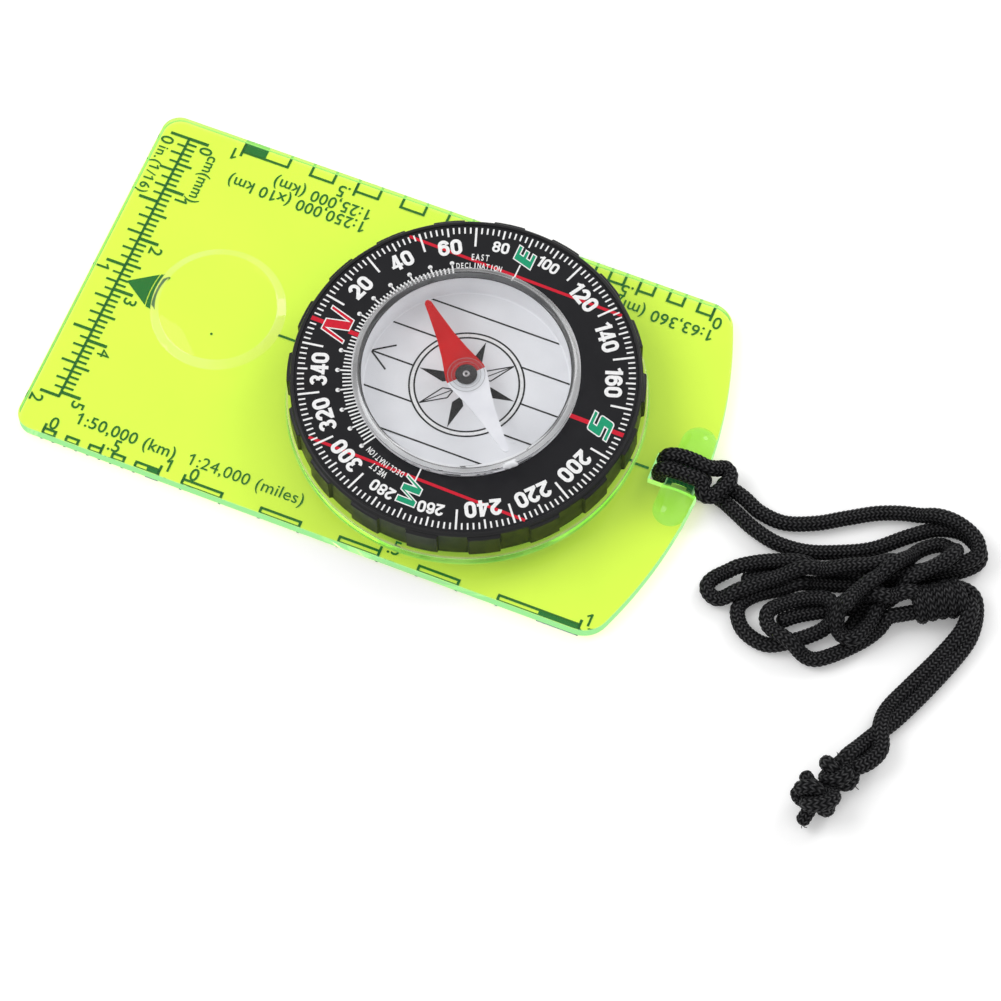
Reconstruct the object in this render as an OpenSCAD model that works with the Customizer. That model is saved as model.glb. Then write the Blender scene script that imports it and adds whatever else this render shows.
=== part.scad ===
// Baseplate compass. A clear plate carries a turning bezel, a liquid capsule with a
// magnetic needle, a moulded-in magnifier and a braided lanyard.
// Millimetres. Origin: the needle's axis at the plate's underside.
// +Y is the direction of travel, +X is to its right, +Z is up.

/* [Baseplate] */
// Length from the front edge to the middle of the curved lanyard edge
plate_len = 105; // [104:0.5:108]
// Width across the side scales
plate_w = 61; // [60:0.5:66]
// Thickness of the clear plate
plate_t = 2.5; // [2.3:0.1:2.8]
// Distance from the needle's axis to the front edge
plate_front = 65.3; // [64:0.1:66]
// Radius of the two front corners
front_corner_r = 3; // [1:0.5:6]
// Radius of the curved lanyard edge
end_arc_r = 75; // [60:1:90]
// Radius where the lanyard edge meets the long sides
end_corner_r = 4.5; // [2:0.5:6]
// Radius of the raised round boss under the bezel
boss_r = 28.6; // [28.5:0.1:29.5]
// Height of the boss's top above the underside
boss_top = 4.2; // [4:0.1:4.3]
// Bore in the plate that the bezel's sleeve turns in
plate_bore_r = 20.2; // [20.2:0.05:20.25]

/* [Magnifier] */
// Distance of the moulded lens from the needle's axis
lens_y = 43.1; // [42:0.1:45]
// Radius of the domed face
lens_r = 9.5; // [8:0.1:10]
// Width of the sloped shoulder round the dome
lens_shoulder = 1.3; // [0.8:0.1:1.6]
// Height of the shoulder above the plate
lens_step = 0.8; // [0.4:0.1:1]
// Rise of the dome at its middle
lens_rise = 1; // [0.5:0.1:1.4]

/* [Lanyard bar] */
// Width of the opening, along the bar
slot_w = 4.8; // [4.4:0.1:5.4]
// Distance of the opening's inner edge behind the needle's axis
slot_y = 31.5; // [31:0.1:32]
// Distance of the bar's middle behind the needle's axis
bar_y = 36.8; // [36.6:0.1:37]
// Half the thickness of the bar
bar_r = 1.25; // [1.1:0.05:1.3]
// Half the distance between the bar's two rounded edges' centres
bar_half = 1.25; // [1:0.05:1.4]
// Height of the bar's middle
bar_z = 2.7; // [2.7:0.05:2.8]
// Radius of the crowned lumps at the bar's ends
lump_r = 3.2; // [2.9:0.1:3.3]
// Height of the lumps' axis
lump_z = 1; // [0.9:0.1:1.2]
// Distance of a lump's round end centre from the middle
lump_x = 6.2; // [5:0.1:7]

/* [Bezel] */
// Radius of the bezel between its grip pads
bezel_r = 27.7; // [27.6:0.1:27.9]
// Radius over the grip pads
pad_r = 28.2; // [28:0.1:28.5]
// Number of grip pads
pads = 18; // [12:2:24]
// Angle of the first pad's middle, clockwise from north
pad_phase = 2; // [0:1:10]
// Height of the bezel's lower edge
bezel_low = 4.4; // [4.35:0.05:4.6]
// Height of the printed dial
dial_z = 10.3; // [10.2:0.1:10.6]
// Height that the rim stands above the dial
rim_rise = 0.25; // [0.1:0.05:0.4]
// Outer radius of the printed dial plate
dial_r = 26.95; // [26.9:0.05:27]
// Thickness of the printed dial plate
dial_t = 0.6; // [0.5:0.1:0.8]
// Radial clearance of every turning fit
run_gap = 0.06; // [0.03:0.01:0.09]

/* [Capsule] */
// Outer radius of the clear capsule
capsule_r = 17.4; // [17.3:0.05:17.5]
// Outer radius of the capsule's window, which overhangs the wall
window_r = 17.9; // [17.5:0.05:18.2]
// Thickness of the capsule's wall
capsule_wall = 1; // [0.8:0.1:1.2]
// Height of the printed floor inside the capsule
floor_z = 4; // [3.8:0.1:4.2]
// Height of the seam between the capsule's cup and its window
seam_z = 11.4; // [11.3:0.1:11.6]
// Height of the window's outer edge
window_edge_z = 12.85; // [12.6:0.05:13]
// Size of the bevel round the window, across and down
bevel_r = 0.85; // [0.5:0.05:1]
bevel_z = 0.45; // [0.3:0.05:0.6]

/* [Needle] */
// Half the length of the needle
needle_half = 14.7; // [13:0.1:15]
// Half the width of the needle at its middle
needle_w = 3.25; // [2.5:0.05:3.5]
// Thickness of the needle
needle_t = 0.3; // [0.2:0.05:0.4]
// Height of the needle's middle plane
needle_z = 8.9; // [8.8:0.05:9]
// Bearing that the needle's north end points to, clockwise from the direction of travel
needle_bearing = 42.5; // [0:0.5:359]

/* [Lanyard] */
// Radius of one strand of cord
cord_r = 1.15; // [1:0.05:1.2]
// Outer radius of the sliding knot
knot_r = 3.1; // [2.95:0.05:3.2]
// Length of the sliding knot
knot_len = 6.9; // [6.5:0.1:7]
// Distance from the needle's axis to the lanyard's flexing point
flex_y = 42.4; // [42.3:0.1:42.6]

/* [Hidden] */
$fn = 72;
eps = 0.01;             // overlap that joins two solids of one piece
seat = 0.02;            // gap between two pieces that rest on each other
tall = 40;              // longer than any through cut

plate_back = plate_len - plate_front;
sleeve_r = plate_bore_r - run_gap;
sleeve_low = 0.2;       // lower end of the bezel's sleeve
retainer_r = 22.4;      // outer radius of the ring that holds the bezel down
retainer_z = 0.35;      // its lower face
retainer_t = 0.7;       // its thickness
retainer_seat = 19.4;   // radius of the groove that it snaps into
relief_z = 1.3;         // depth of the plate's recess for it
circlip_z = 1.2;        // lower face of the ring that holds the capsule
circlip_t = 0.65;
circlip_r = 18.95;
clip_gap = 22;          // opening angle of both split rings
flange_r = 18.4;        // capsule flange under the bezel's inner step
flange_z = 2;
step_z = 2.9;           // height of that step
inner_r = capsule_r + run_gap;
skin = 1.4;             // thickness of the bezel's top and skirt
drag_r = 24;            // middle radius of the rubber drag ring
drag_section = 0.75;
drag_z = 4.1;
stem_r = 1.2;           // hub cap stem through disc and needle
pin_r = 0.35;
jewel_r = 0.88;
flex_z = 2.3;           // height of the lanyard's flexing point
bight_r = 1.9;          // radius of the hitch's crossing turn
wrap_r = bar_r + 1.35;  // outer radius of the cord wrapped round the bar
table_z = cord_r + 0.1; // centre height of a strand that lies on the table

// Points on an arc from angle a0 to a1 in n steps
function arc(cx, cy, r, a0, a1, n) =
  [for (i = [0:n]) let (a = a0 + (a1 - a0) * i / n) [cx + r * cos(a), cy + r * sin(a)]];

// The plate's outline: two front corners, two rear corners and the curved lanyard edge
corner_x = plate_w / 2 - end_corner_r;
end_half = asin(corner_x / (end_arc_r - end_corner_r));
end_cy = end_arc_r - plate_back;
corner_y = end_cy - (end_arc_r - end_corner_r) * cos(end_half);
front_x = plate_w / 2 - front_corner_r;
front_y = plate_front - front_corner_r;
outline = concat(
  arc(front_x, front_y, front_corner_r, 0, 90, 8),
  arc(-front_x, front_y, front_corner_r, 90, 180, 8),
  arc(-corner_x, corner_y, end_corner_r, 180, 270 - end_half, 8),
  arc(0, end_cy, end_arc_r, 271 - end_half, 269 + end_half, 20),
  arc(corner_x, corner_y, end_corner_r, 270 + end_half, 360, 8)
);

module ring(r_in, r_out, z0, z1) {
  rotate_extrude() translate([r_in, z0]) square([r_out - r_in, z1 - z0]);
}

// A flat ring with a gap, as a snap ring has
module split_ring(r_in, r_out, z0, z1, gap) {
  difference() {
    ring(r_in, r_out, z0, z1);
    rotate(180) translate([0, 0, z0 - 1]) linear_extrude(z1 - z0 + 2)
      polygon([[0, 0], [tall * sin(gap / 2), tall], [-tall * sin(gap / 2), tall]]);
  }
}

// A bar with round front and back edges that runs along X
module stadium_bar(len, half, r) {
  for (s = [-1, 1]) translate([-len / 2, s * half, 0]) rotate([0, 90, 0]) cylinder(h = len, r = r);
  translate([-len / 2, -half, -r]) cube([len, 2 * half, 2 * r]);
}

// Two crowned lumps that flank the cord's gap
module bar_lumps() {
  intersection() {
    linear_extrude(boss_top) polygon(outline);
    for (s = [-1, 1]) translate([0, -bar_y, lump_z]) {
      translate([s * lump_x, 0, 0]) sphere(lump_r);
      rotate([0, s * 90, 0]) cylinder(h = lump_x, r = lump_r);
    }
  }
}

module magnifier() {
  dome_r = (lens_r * lens_r + lens_rise * lens_rise) / (2 * lens_rise);
  top = plate_t + lens_step;
  translate([0, lens_y, 0]) {
    translate([0, 0, plate_t - eps]) cylinder(h = lens_step + eps, r1 = lens_r + lens_shoulder, r2 = lens_r);
    intersection() {
      translate([0, 0, top + lens_rise - dome_r]) sphere(dome_r, $fn = 180);
      translate([0, 0, top - eps]) cylinder(h = lens_rise + 1, r = lens_r - eps);
    }
  }
}

module baseplate() {
  gap_y = plate_back + 2;
  color([0.85, 1, 0.25, 0.6]) {
    difference() {
      union() {
        linear_extrude(plate_t) polygon(outline);
        cylinder(h = boss_top, r = boss_r);
        magnifier();
        bar_lumps();
      }
      translate([0, 0, -1]) cylinder(h = tall, r = plate_bore_r);
      translate([0, 0, -1]) cylinder(h = 1 + relief_z, r = retainer_r + 0.4);
      ring(drag_r - 0.8, drag_r + 0.8, drag_z - 0.8, boss_top + 1);
      translate([-slot_w / 2, -gap_y, -1]) cube([slot_w, gap_y - slot_y, tall]);
    }
    translate([0, -bar_y, bar_z]) stadium_bar(slot_w + 1, bar_half, bar_r);
  }
}

module drag_ring() {
  color([0.12, 0.12, 0.12]) translate([0, 0, drag_z]) rotate_extrude()
    translate([drag_r, 0]) circle(drag_section, $fn = 32);
}

// The bezel's section: bearing sleeve, web under the dial, rib on the drag ring, grip skirt and rim
module bezel_section() {
  top = dial_z + rim_rise;
  web_top = dial_z - dial_t - seat;
  web_low = dial_z - dial_t - skin;
  rib_low = drag_z + drag_section + seat;
  recess_r = flange_r + 0.1;
  seat_r = dial_r + seat;
  polygon([
    [recess_r, sleeve_low], [sleeve_r, sleeve_low],
    [sleeve_r, retainer_z - 0.05], [retainer_seat, retainer_z - 0.05],
    [retainer_seat, retainer_z + retainer_t + 0.05], [sleeve_r, retainer_z + retainer_t + 0.05],
    [sleeve_r, web_low], [drag_r - 0.6, web_low], [drag_r - 0.6, rib_low],
    [drag_r + 0.6, rib_low], [drag_r + 0.6, web_low],
    [bezel_r - skin, web_low], [bezel_r - skin, bezel_low], [bezel_r, bezel_low],
    [bezel_r, dial_z - 0.2], [bezel_r - 0.35, top], [seat_r + 0.1, top], [seat_r, top - 0.1],
    [seat_r, web_top], [inner_r, web_top], [inner_r, step_z], [recess_r, step_z],
    [recess_r, circlip_z + circlip_t + 0.05], [circlip_r + 0.05, circlip_z + circlip_t + 0.05],
    [circlip_r + 0.05, circlip_z - 0.05], [recess_r, circlip_z - 0.05]
  ]);
}

// The grip pads' band, before it is cut into pads
module pad_band() {
  low = bezel_low + 0.2;
  top = dial_z - 0.35;
  root = bezel_r - 0.5;
  rotate_extrude() polygon([
    [root, low], [pad_r - 0.2, low], [pad_r, low + 0.2], [pad_r, top - 0.25], [pad_r - 0.25, top], [root, top]
  ]);
}

module bezel_ring() {
  half = 180 / pads / 2;
  near = 25;
  color([0.09, 0.09, 0.1]) {
    rotate_extrude() bezel_section();
    for (i = [0:pads - 1]) rotate(-pad_phase - i * 360 / pads) intersection() {
      pad_band();
      linear_extrude(tall) polygon([
        [-near * sin(half), near * cos(half)], [near * sin(half), near * cos(half)],
        [tall * sin(half), tall * cos(half)], [-tall * sin(half), tall * cos(half)]
      ]);
    }
  }
}

module dial_plate() {
  color([0.15, 0.15, 0.16]) ring(inner_r, dial_r, dial_z - dial_t, dial_z);
}

module bezel_retainer() {
  color([0.75, 0.75, 0.75])
    split_ring(retainer_seat + seat, retainer_r, retainer_z, retainer_z + retainer_t, clip_gap);
}

module capsule_retainer() {
  color([0.75, 0.75, 0.75])
    split_ring(17.6, circlip_r, circlip_z, circlip_z + circlip_t, clip_gap);
}

// The cup: a floor with the printed lines, a wall, a flange and the pivot's post
module capsule_cup() {
  inside_r = capsule_r - capsule_wall;
  color([0.9, 0.93, 0.95, 0.35]) difference() {
    union() {
      ring(inside_r, capsule_r, flange_z, seam_z);
      cylinder(h = floor_z, r = inside_r + eps);
      ring(inside_r, flange_r, flange_z, step_z - 0.05);
      translate([0, 0, floor_z - eps]) cylinder(h = 1.6, r1 = 1.5, r2 = 0.8);
    }
    translate([0, 0, -1]) cylinder(h = 1 + flange_z, r = inside_r + 1);
    translate([0, 0, flange_z + 0.6]) cylinder(h = 10, r = pin_r + 0.01);
    rotate(-225) translate([0, 0, 6.5]) rotate([-90, 0, 0]) translate([0, 0, inside_r - 1]) cylinder(h = 3, r = 0.6);
  }
}

module capsule_window() {
  inside_r = capsule_r - capsule_wall;
  color([0.9, 0.93, 0.95, 0.35]) rotate_extrude() polygon([
    [0, seam_z - 0.5], [inside_r - seat, seam_z - 0.5], [inside_r - seat, seam_z + seat],
    [window_r, seam_z + seat], [window_r, window_edge_z],
    [window_r - bevel_r, window_edge_z + bevel_z], [0, window_edge_z + bevel_z]
  ]);
}

module fill_plug() {
  color([0.85, 0.87, 0.9]) rotate(-225) translate([0, 0, 6.5]) rotate([-90, 0, 0])
    translate([0, 0, capsule_r - capsule_wall + 0.05]) cylinder(h = capsule_wall - 0.15, r = 0.59);
}

module pivot_pin() {
  color([0.7, 0.7, 0.72]) {
    translate([0, 0, flange_z + 0.6]) cylinder(h = 5.3, r = pin_r);
    translate([0, 0, flange_z + 5.9 - eps]) cylinder(h = 0.8, r1 = pin_r, r2 = 0.05);
  }
}

// Half of the needle's outline, as [distance from the hub, half width] towards one tip
function blade_half() = [
  [0.6, needle_w], [0.17 * needle_half, 0.84 * needle_w], [0.29 * needle_half, 0.68 * needle_w],
  [0.52 * needle_half, 0.45 * needle_w], [0.84 * needle_half, 0.24 * needle_w],
  [0.97 * needle_half, 0.17 * needle_w], [needle_half, 0.06 * needle_w]
];

module needle_blade() {
  h = blade_half();
  n = len(h) - 1;
  points = concat(
    [for (i = [0:n]) [h[i][1], h[i][0]]], [for (i = [n:-1:0]) [-h[i][1], h[i][0]]],
    [for (i = [0:n]) [-h[i][1], -h[i][0]]], [for (i = [n:-1:0]) [h[i][1], -h[i][0]]]
  );
  color([0.8, 0.12, 0.13]) rotate(-needle_bearing) translate([0, 0, needle_z - needle_t / 2])
    difference() {
      linear_extrude(needle_t) polygon(points);
      translate([0, 0, -1]) cylinder(h = 3, r = stem_r + seat);
    }
}

module hub_disc() {
  low = needle_z + needle_t / 2 + seat;
  color([0.9, 0.92, 0.95, 0.5]) ring(stem_r + seat, 3, low, low + 0.25);
}

module hub_cap() {
  low = needle_z + needle_t / 2 + 0.25 + 2 * seat;
  color([0.1, 0.1, 0.11]) difference() {
    union() {
      rotate_extrude() polygon([[0, low], [1.72, low], [1.72, low + 0.35], [1.45, low + 0.58], [0, low + 0.58]]);
      translate([0, 0, needle_z - 0.9]) cylinder(h = low + 0.9 - needle_z + eps, r = stem_r);
    }
    translate([0, 0, needle_z - 2]) cylinder(h = 2.2, r = jewel_r + 0.01);
    translate([0, 0, low + 0.34]) cylinder(h = 1, r1 = 0.1, r2 = 2);
  }
}

module hub_collar() {
  top = needle_z - needle_t / 2 - seat;
  color([0.8, 0.68, 0.35]) ring(stem_r + 0.01, 1.9, top - 0.4, top);
}

module jewel_cup() {
  color([0.75, 0.2, 0.3]) translate([0, 0, needle_z - 0.85]) difference() {
    cylinder(h = 1.03, r = jewel_r);
    translate([0, 0, -eps]) cylinder(h = 0.72, r1 = 0.66, r2 = 0.12);
  }
}

// A smooth curve through the waypoints p, with n points to each stretch
function curve_at(a, b, c, d, t) =
  b + (c - a) * t / 2 + (2 * a - 5 * b + 4 * c - d) * t * t / 2 + (3 * b - a - 3 * c + d) * t * t * t / 2;
function smooth(p, n = 4) = let (last = len(p) - 1) concat(
  [for (i = [0:last - 1], k = [0:n - 1])
    curve_at(p[max(i - 1, 0)], p[i], p[i + 1], p[min(i + 2, last)], k / n)],
  [p[last]]
);

// A tube of radius r along the waypoints, which never run straight up
module strand(waypoints, r = cord_r, sides = 8) {
  p = smooth(waypoints);
  last = len(p) - 1;
  points = [for (i = [0:last], j = [0:sides - 1])
    let (
      t = p[min(i + 1, last)] - p[max(i - 1, 0)],
      across = cross(t, [0, 0, 1]) / norm(cross(t, [0, 0, 1])),
      up = cross(across, t) / norm(t),
      a = 360 * (j + 0.5) / sides
    ) p[i] + r * (cos(a) * across + sin(a) * up)];
  walls = [for (i = [0:last - 1], j = [0:sides - 1])
    let (k = (j + 1) % sides) each [
      [i * sides + j, i * sides + k, (i + 1) * sides + k],
      [i * sides + j, (i + 1) * sides + k, (i + 1) * sides + j]
    ]];
  caps = [[for (j = [sides - 1:-1:0]) j], [for (j = [0:sides - 1]) last * sides + j]];
  polyhedron(points, concat(walls, caps));
}

// Centre line on the table, from points that only give x and y
function flat(p) = [for (q = p) [q[0], q[1], table_z]];

// The sliding knot's axis, from its coil end to its tail end
knot_from = [-7.6, -77.6];
knot_dir = [0.535, -0.845];
knot_side = [0.845, 0.535];
knot_z = knot_r + 0.1;
function in_knot(along, side, z = knot_z) = [
  knot_from[0] + along * knot_dir[0] + side * knot_side[0],
  knot_from[1] + along * knot_dir[1] + side * knot_side[1], z
];
strand_off = cord_r + 0.03; // two strands side by side in the knot
tail_exit = 8; // the tails run straight this far, so the bend beyond clears the knot

// The cord's turns round the bar and the turn that crosses in front of them
module lanyard_hitch() {
  turn_w = 1.9;
  color([0.08, 0.08, 0.08]) {
    difference() {
      for (s = [-1, 1]) translate([s * (turn_w + 0.2) / 2, -bar_y, bar_z]) stadium_bar(turn_w, bar_half, wrap_r);
      translate([0, -bar_y, bar_z]) stadium_bar(slot_w + 2, bar_half, bar_r + 0.02);
    }
    translate([0, -flex_y, flex_z]) {
      translate([-2.4, 0, 0]) rotate([0, 90, 0]) cylinder(h = 5.2, r = bight_r);
      translate([-2.4, 0, 0]) sphere(bight_r);
      translate([2.8, 0, 0]) sphere(bight_r);
    }
  }
}

// The two runs of cord, coiled on the table between the hitch and the sliding knot
module lanyard_cord() {
  start = flex_y + bight_r + 0.75;
  color([0.08, 0.08, 0.08]) {
    strand(concat([[1.3, -start, flex_z - 0.3]], flat([
      [0.5, -46.6], [-1.2, -49.4], [-1.8, -53.2], [-0.2, -57.8], [3.2, -62.7], [6, -67.4],
      [7.7, -73], [7.8, -79.2], [5.8, -83.6], [2.9, -83.9], [0.4, -79.6], [-1.8, -75],
      [-4.9, -69.6], [-8, -64.2], [-11, -59], [-14.2, -54], [-16.9, -49.3]
    ])));
    strand(flat([
      [-16.6, -50], [-17.2, -47.6], [-15.2, -46.4], [-12.2, -48.6], [-9.4, -53], [-7.2, -58.8],
      [-4.6, -64.4], [-2.8, -68.4], [-3.2, -71.6], [-6.2, -71.8], [-8.6, -69.2], [-11.4, -64.6],
      [-13.8, -60.6], [-15.8, -55.6], [-18.8, -53.2], [-21.9, -55.6], [-22.8, -60.4],
      [-21.6, -65.8], [-17.6, -70.8], [-13.6, -73.8]
    ]));
    strand(concat([[-1.3, -start, flex_z - 0.3]], flat([
      [-2.6, -46.8], [-3.9, -49.8], [-4.9, -54], [-4.6, -58.6], [-2.9, -63], [-0.2, -67.2],
      [2.4, -71], [4.6, -75.2], [4.8, -78.6]
    ])));
    strand(concat(flat([[4.9, -77.9], [4.4, -80.2], [2.4, -79.6], [0.9, -76.2]]), [
      [-1.6, -72.2, 2.2], [-4.6, -70.2, 3.6], [-8.9, -68.8, 3.7], [-13.2, -67.9, 3.7],
      [-16, -69.2, 3.6], [-15.2, -72, 3.4], [-12.4, -73.4, 3.2]
    ]));
    strand(flat([
      [-12.6, -70.8], [-14.4, -67], [-16.4, -62.4], [-18.2, -58.4], [-20, -58.8], [-20, -62],
      [-17.9, -65.6], [-14.8, -69.8]
    ]));
  }
}

// The two tails, which run straight through the sliding knot and on to the stopper knots
module lanyard_tails() {
  color([0.08, 0.08, 0.08]) {
    strand(concat(
      [in_knot(-4.4, strand_off), in_knot(0, strand_off), in_knot(4, strand_off), in_knot(tail_exit, strand_off)],
      [in_knot(tail_exit + 1, strand_off), [-2.6, -87.4, 2.2]],
      flat([[-5.4, -88.3], [-9.2, -87.9], [-14.2, -86.9], [-19.6, -84.7], [-27.4, -82], [-34.6, -79.8]])
    ));
    strand(concat(
      [in_knot(-4.4, -strand_off), in_knot(0, -strand_off), in_knot(4, -strand_off), in_knot(tail_exit, -strand_off)],
      [in_knot(tail_exit + 0.8, -strand_off), [-6, -86.2, 2]],
      flat([[-9.2, -85.4], [-13.4, -84.5], [-18.8, -82.3], [-26.6, -79.6], [-34.2, -77.5]])
    ));
  }
}

module stopper_knots() {
  color([0.08, 0.08, 0.08]) {
    translate([-38, -76.2, 3.3]) sphere(3.2);
    translate([-43.2, -74.4, 3.7]) rotate([0, 0, 90]) sphere(3.6);
  }
}

module slide_knot() {
  color([0.1, 0.1, 0.1]) translate([knot_from[0], knot_from[1], knot_z])
    rotate([0, 0, atan2(knot_dir[1], knot_dir[0])]) rotate([0, 90, 0]) difference() {
      cylinder(h = knot_len, r = knot_r);
      translate([0, 0, -1]) cylinder(h = knot_len + 2, r = 2 * cord_r + 0.13);
    }
}

baseplate();
drag_ring();
lanyard_hitch();
bezel_ring();
dial_plate();
bezel_retainer();
capsule_retainer();
capsule_cup();
capsule_window();
fill_plug();
pivot_pin();
needle_blade();
hub_disc();
hub_cap();
hub_collar();
jewel_cup();
lanyard_cord();
lanyard_tails();
stopper_knots();
slide_knot();
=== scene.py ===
import math
import random

import bmesh
import bpy
import numpy as np
from mathutils import Matrix, Vector


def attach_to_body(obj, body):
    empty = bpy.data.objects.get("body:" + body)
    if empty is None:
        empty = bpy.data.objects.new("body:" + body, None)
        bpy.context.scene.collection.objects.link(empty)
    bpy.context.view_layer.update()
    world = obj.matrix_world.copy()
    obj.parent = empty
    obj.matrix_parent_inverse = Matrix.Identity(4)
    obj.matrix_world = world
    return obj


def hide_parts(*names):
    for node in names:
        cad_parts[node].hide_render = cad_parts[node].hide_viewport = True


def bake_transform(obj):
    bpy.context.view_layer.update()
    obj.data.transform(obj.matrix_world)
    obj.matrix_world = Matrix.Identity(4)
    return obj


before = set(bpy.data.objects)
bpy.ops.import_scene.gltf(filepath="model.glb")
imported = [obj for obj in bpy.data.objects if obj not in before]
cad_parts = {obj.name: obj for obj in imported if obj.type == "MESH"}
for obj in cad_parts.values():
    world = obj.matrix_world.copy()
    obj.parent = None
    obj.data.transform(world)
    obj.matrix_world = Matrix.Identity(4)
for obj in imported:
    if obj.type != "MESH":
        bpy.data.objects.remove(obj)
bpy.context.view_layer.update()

MM = 0.001
random.seed(7)

# ---------------------------------------------------------------- dimensions, in millimetres
PLATE_T = 2.5
PLATE_FRONT = 65.3
PLATE_BACK = 39.7
PLATE_HALF = 30.5
PRINT_LINE = 0.42
BOSS_R = 28.6
BOSS_TOP = 4.2
LENS_Y = 43.1
LENS_R = 9.5
BAR_Y = -36.8
BAR_Z = 2.7
BAR_R = 1.25
BAR_HALF = 2.9
DIAL_Z = 10.3
DIAL_TURN = 1.15
BEZEL_R = 27.7
PAD_R = 28.2
PADS = 18
PAD_PHASE = 2.0
CAPSULE_R = 17.4
WINDOW_R = 17.9
SEAM_Z = 11.4
FLOOR_Z = 4.0
CORD_R = 1.38
COIL_R = 1.24
TABLE_Z = 1.4
NEEDLE_BEARING = 42.5


# ---------------------------------------------------------------- shader helpers
class Shader:
    """A node material, built one node at a time."""

    def __init__(self, name):
        self.mat = bpy.data.materials.new(name)
        self.mat.use_nodes = True
        self.tree = self.mat.node_tree
        self.tree.nodes.clear()

    def node(self, kind, inputs=None, **props):
        made = self.tree.nodes.new("ShaderNode" + kind)
        for key, value in props.items():
            setattr(made, key, value)
        for key, value in (inputs or {}).items():
            socket = made.inputs[key]
            if isinstance(value, bpy.types.NodeSocket):
                self.tree.links.new(value, socket)
            else:
                socket.default_value = value
        return made

    def out(self, kind, inputs=None, **props):
        return self.node(kind, inputs, **props).outputs[0]

    def math(self, op, a, b=0.0):
        return self.out("Math", {0: a, 1: b}, operation=op)

    def mix(self, factor, a, b):
        return self.out("MixShader", {0: factor, 1: a, 2: b})

    def mix_color(self, factor, a, b):
        return self.node("Mix", {"Factor": factor, 6: a, 7: b}, data_type="RGBA").outputs[2]

    def emission(self, color, strength):
        return self.out("Emission", {"Color": color, "Strength": strength})

    def noise(self, scale, detail=3.0):
        coords = self.node("TexCoord").outputs["Object"]
        return self.out("TexNoise", {"Vector": coords, "Scale": scale, "Detail": detail})

    def ramp(self, value, low, high, out_low=0.0, out_high=1.0):
        return self.out("MapRange", {0: value, 1: low, 2: high, 3: out_low, 4: out_high})

    def bump(self, height, strength, distance):
        return self.out("Bump", {"Height": height, "Strength": strength, "Distance": distance})

    def surface(self, color, rough, specular, normal):
        return self.done(self.out("BsdfPrincipled", {
            "Base Color": color, "Roughness": rough, "Specular IOR Level": specular, "Normal": normal}))

    def done(self, shader):
        self.tree.links.new(shader, self.node("OutputMaterial").inputs["Surface"])
        return self.mat


def rgb(r, g, b):
    return (r, g, b, 1.0)


def faded(color, share):
    return rgb(*[channel * share for channel in color[:3]])


def plastic(name, color, worn, rough, specular, depth=0.00002):
    """Moulded plastic, resin or rubber: fine grain, uneven gloss and slight colour drift."""
    s = Shader(name)
    drift, fine = s.noise(160, 4.0), s.noise(9000, 2.0)
    base = s.mix_color(s.ramp(drift, 0.35, 0.7), color, worn)
    gloss = s.ramp(s.noise(420), 0.3, 0.7, rough * 0.85, rough * 1.2)
    return s.surface(base, gloss, specular, s.bump(fine, 0.25, depth))


def metal(name, color, rough):
    """Turned or stamped metal: cloudy tone and gloss under a fine grain."""
    s = Shader(name)
    drift = s.noise(900, 5.0)
    return s.done(s.out("BsdfPrincipled", {
        "Base Color": s.mix_color(drift, color, faded(color, 0.7)), "Metallic": 1.0,
        "Roughness": s.ramp(drift, 0.3, 0.7, rough * 0.7, rough * 1.4),
        "Normal": s.bump(s.noise(7000), 0.2, 0.00002)}))


def ink(name, color, rough=0.45):
    """Screen-printed ink: slightly uneven coverage and a faint relief."""
    s = Shader(name)
    cover = s.noise(2600)
    base = s.mix_color(s.ramp(cover, 0.3, 0.8), color, faded(color, 0.8))
    return s.surface(base, rough, 0.2, s.bump(cover, 0.1, 0.00001))


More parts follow.
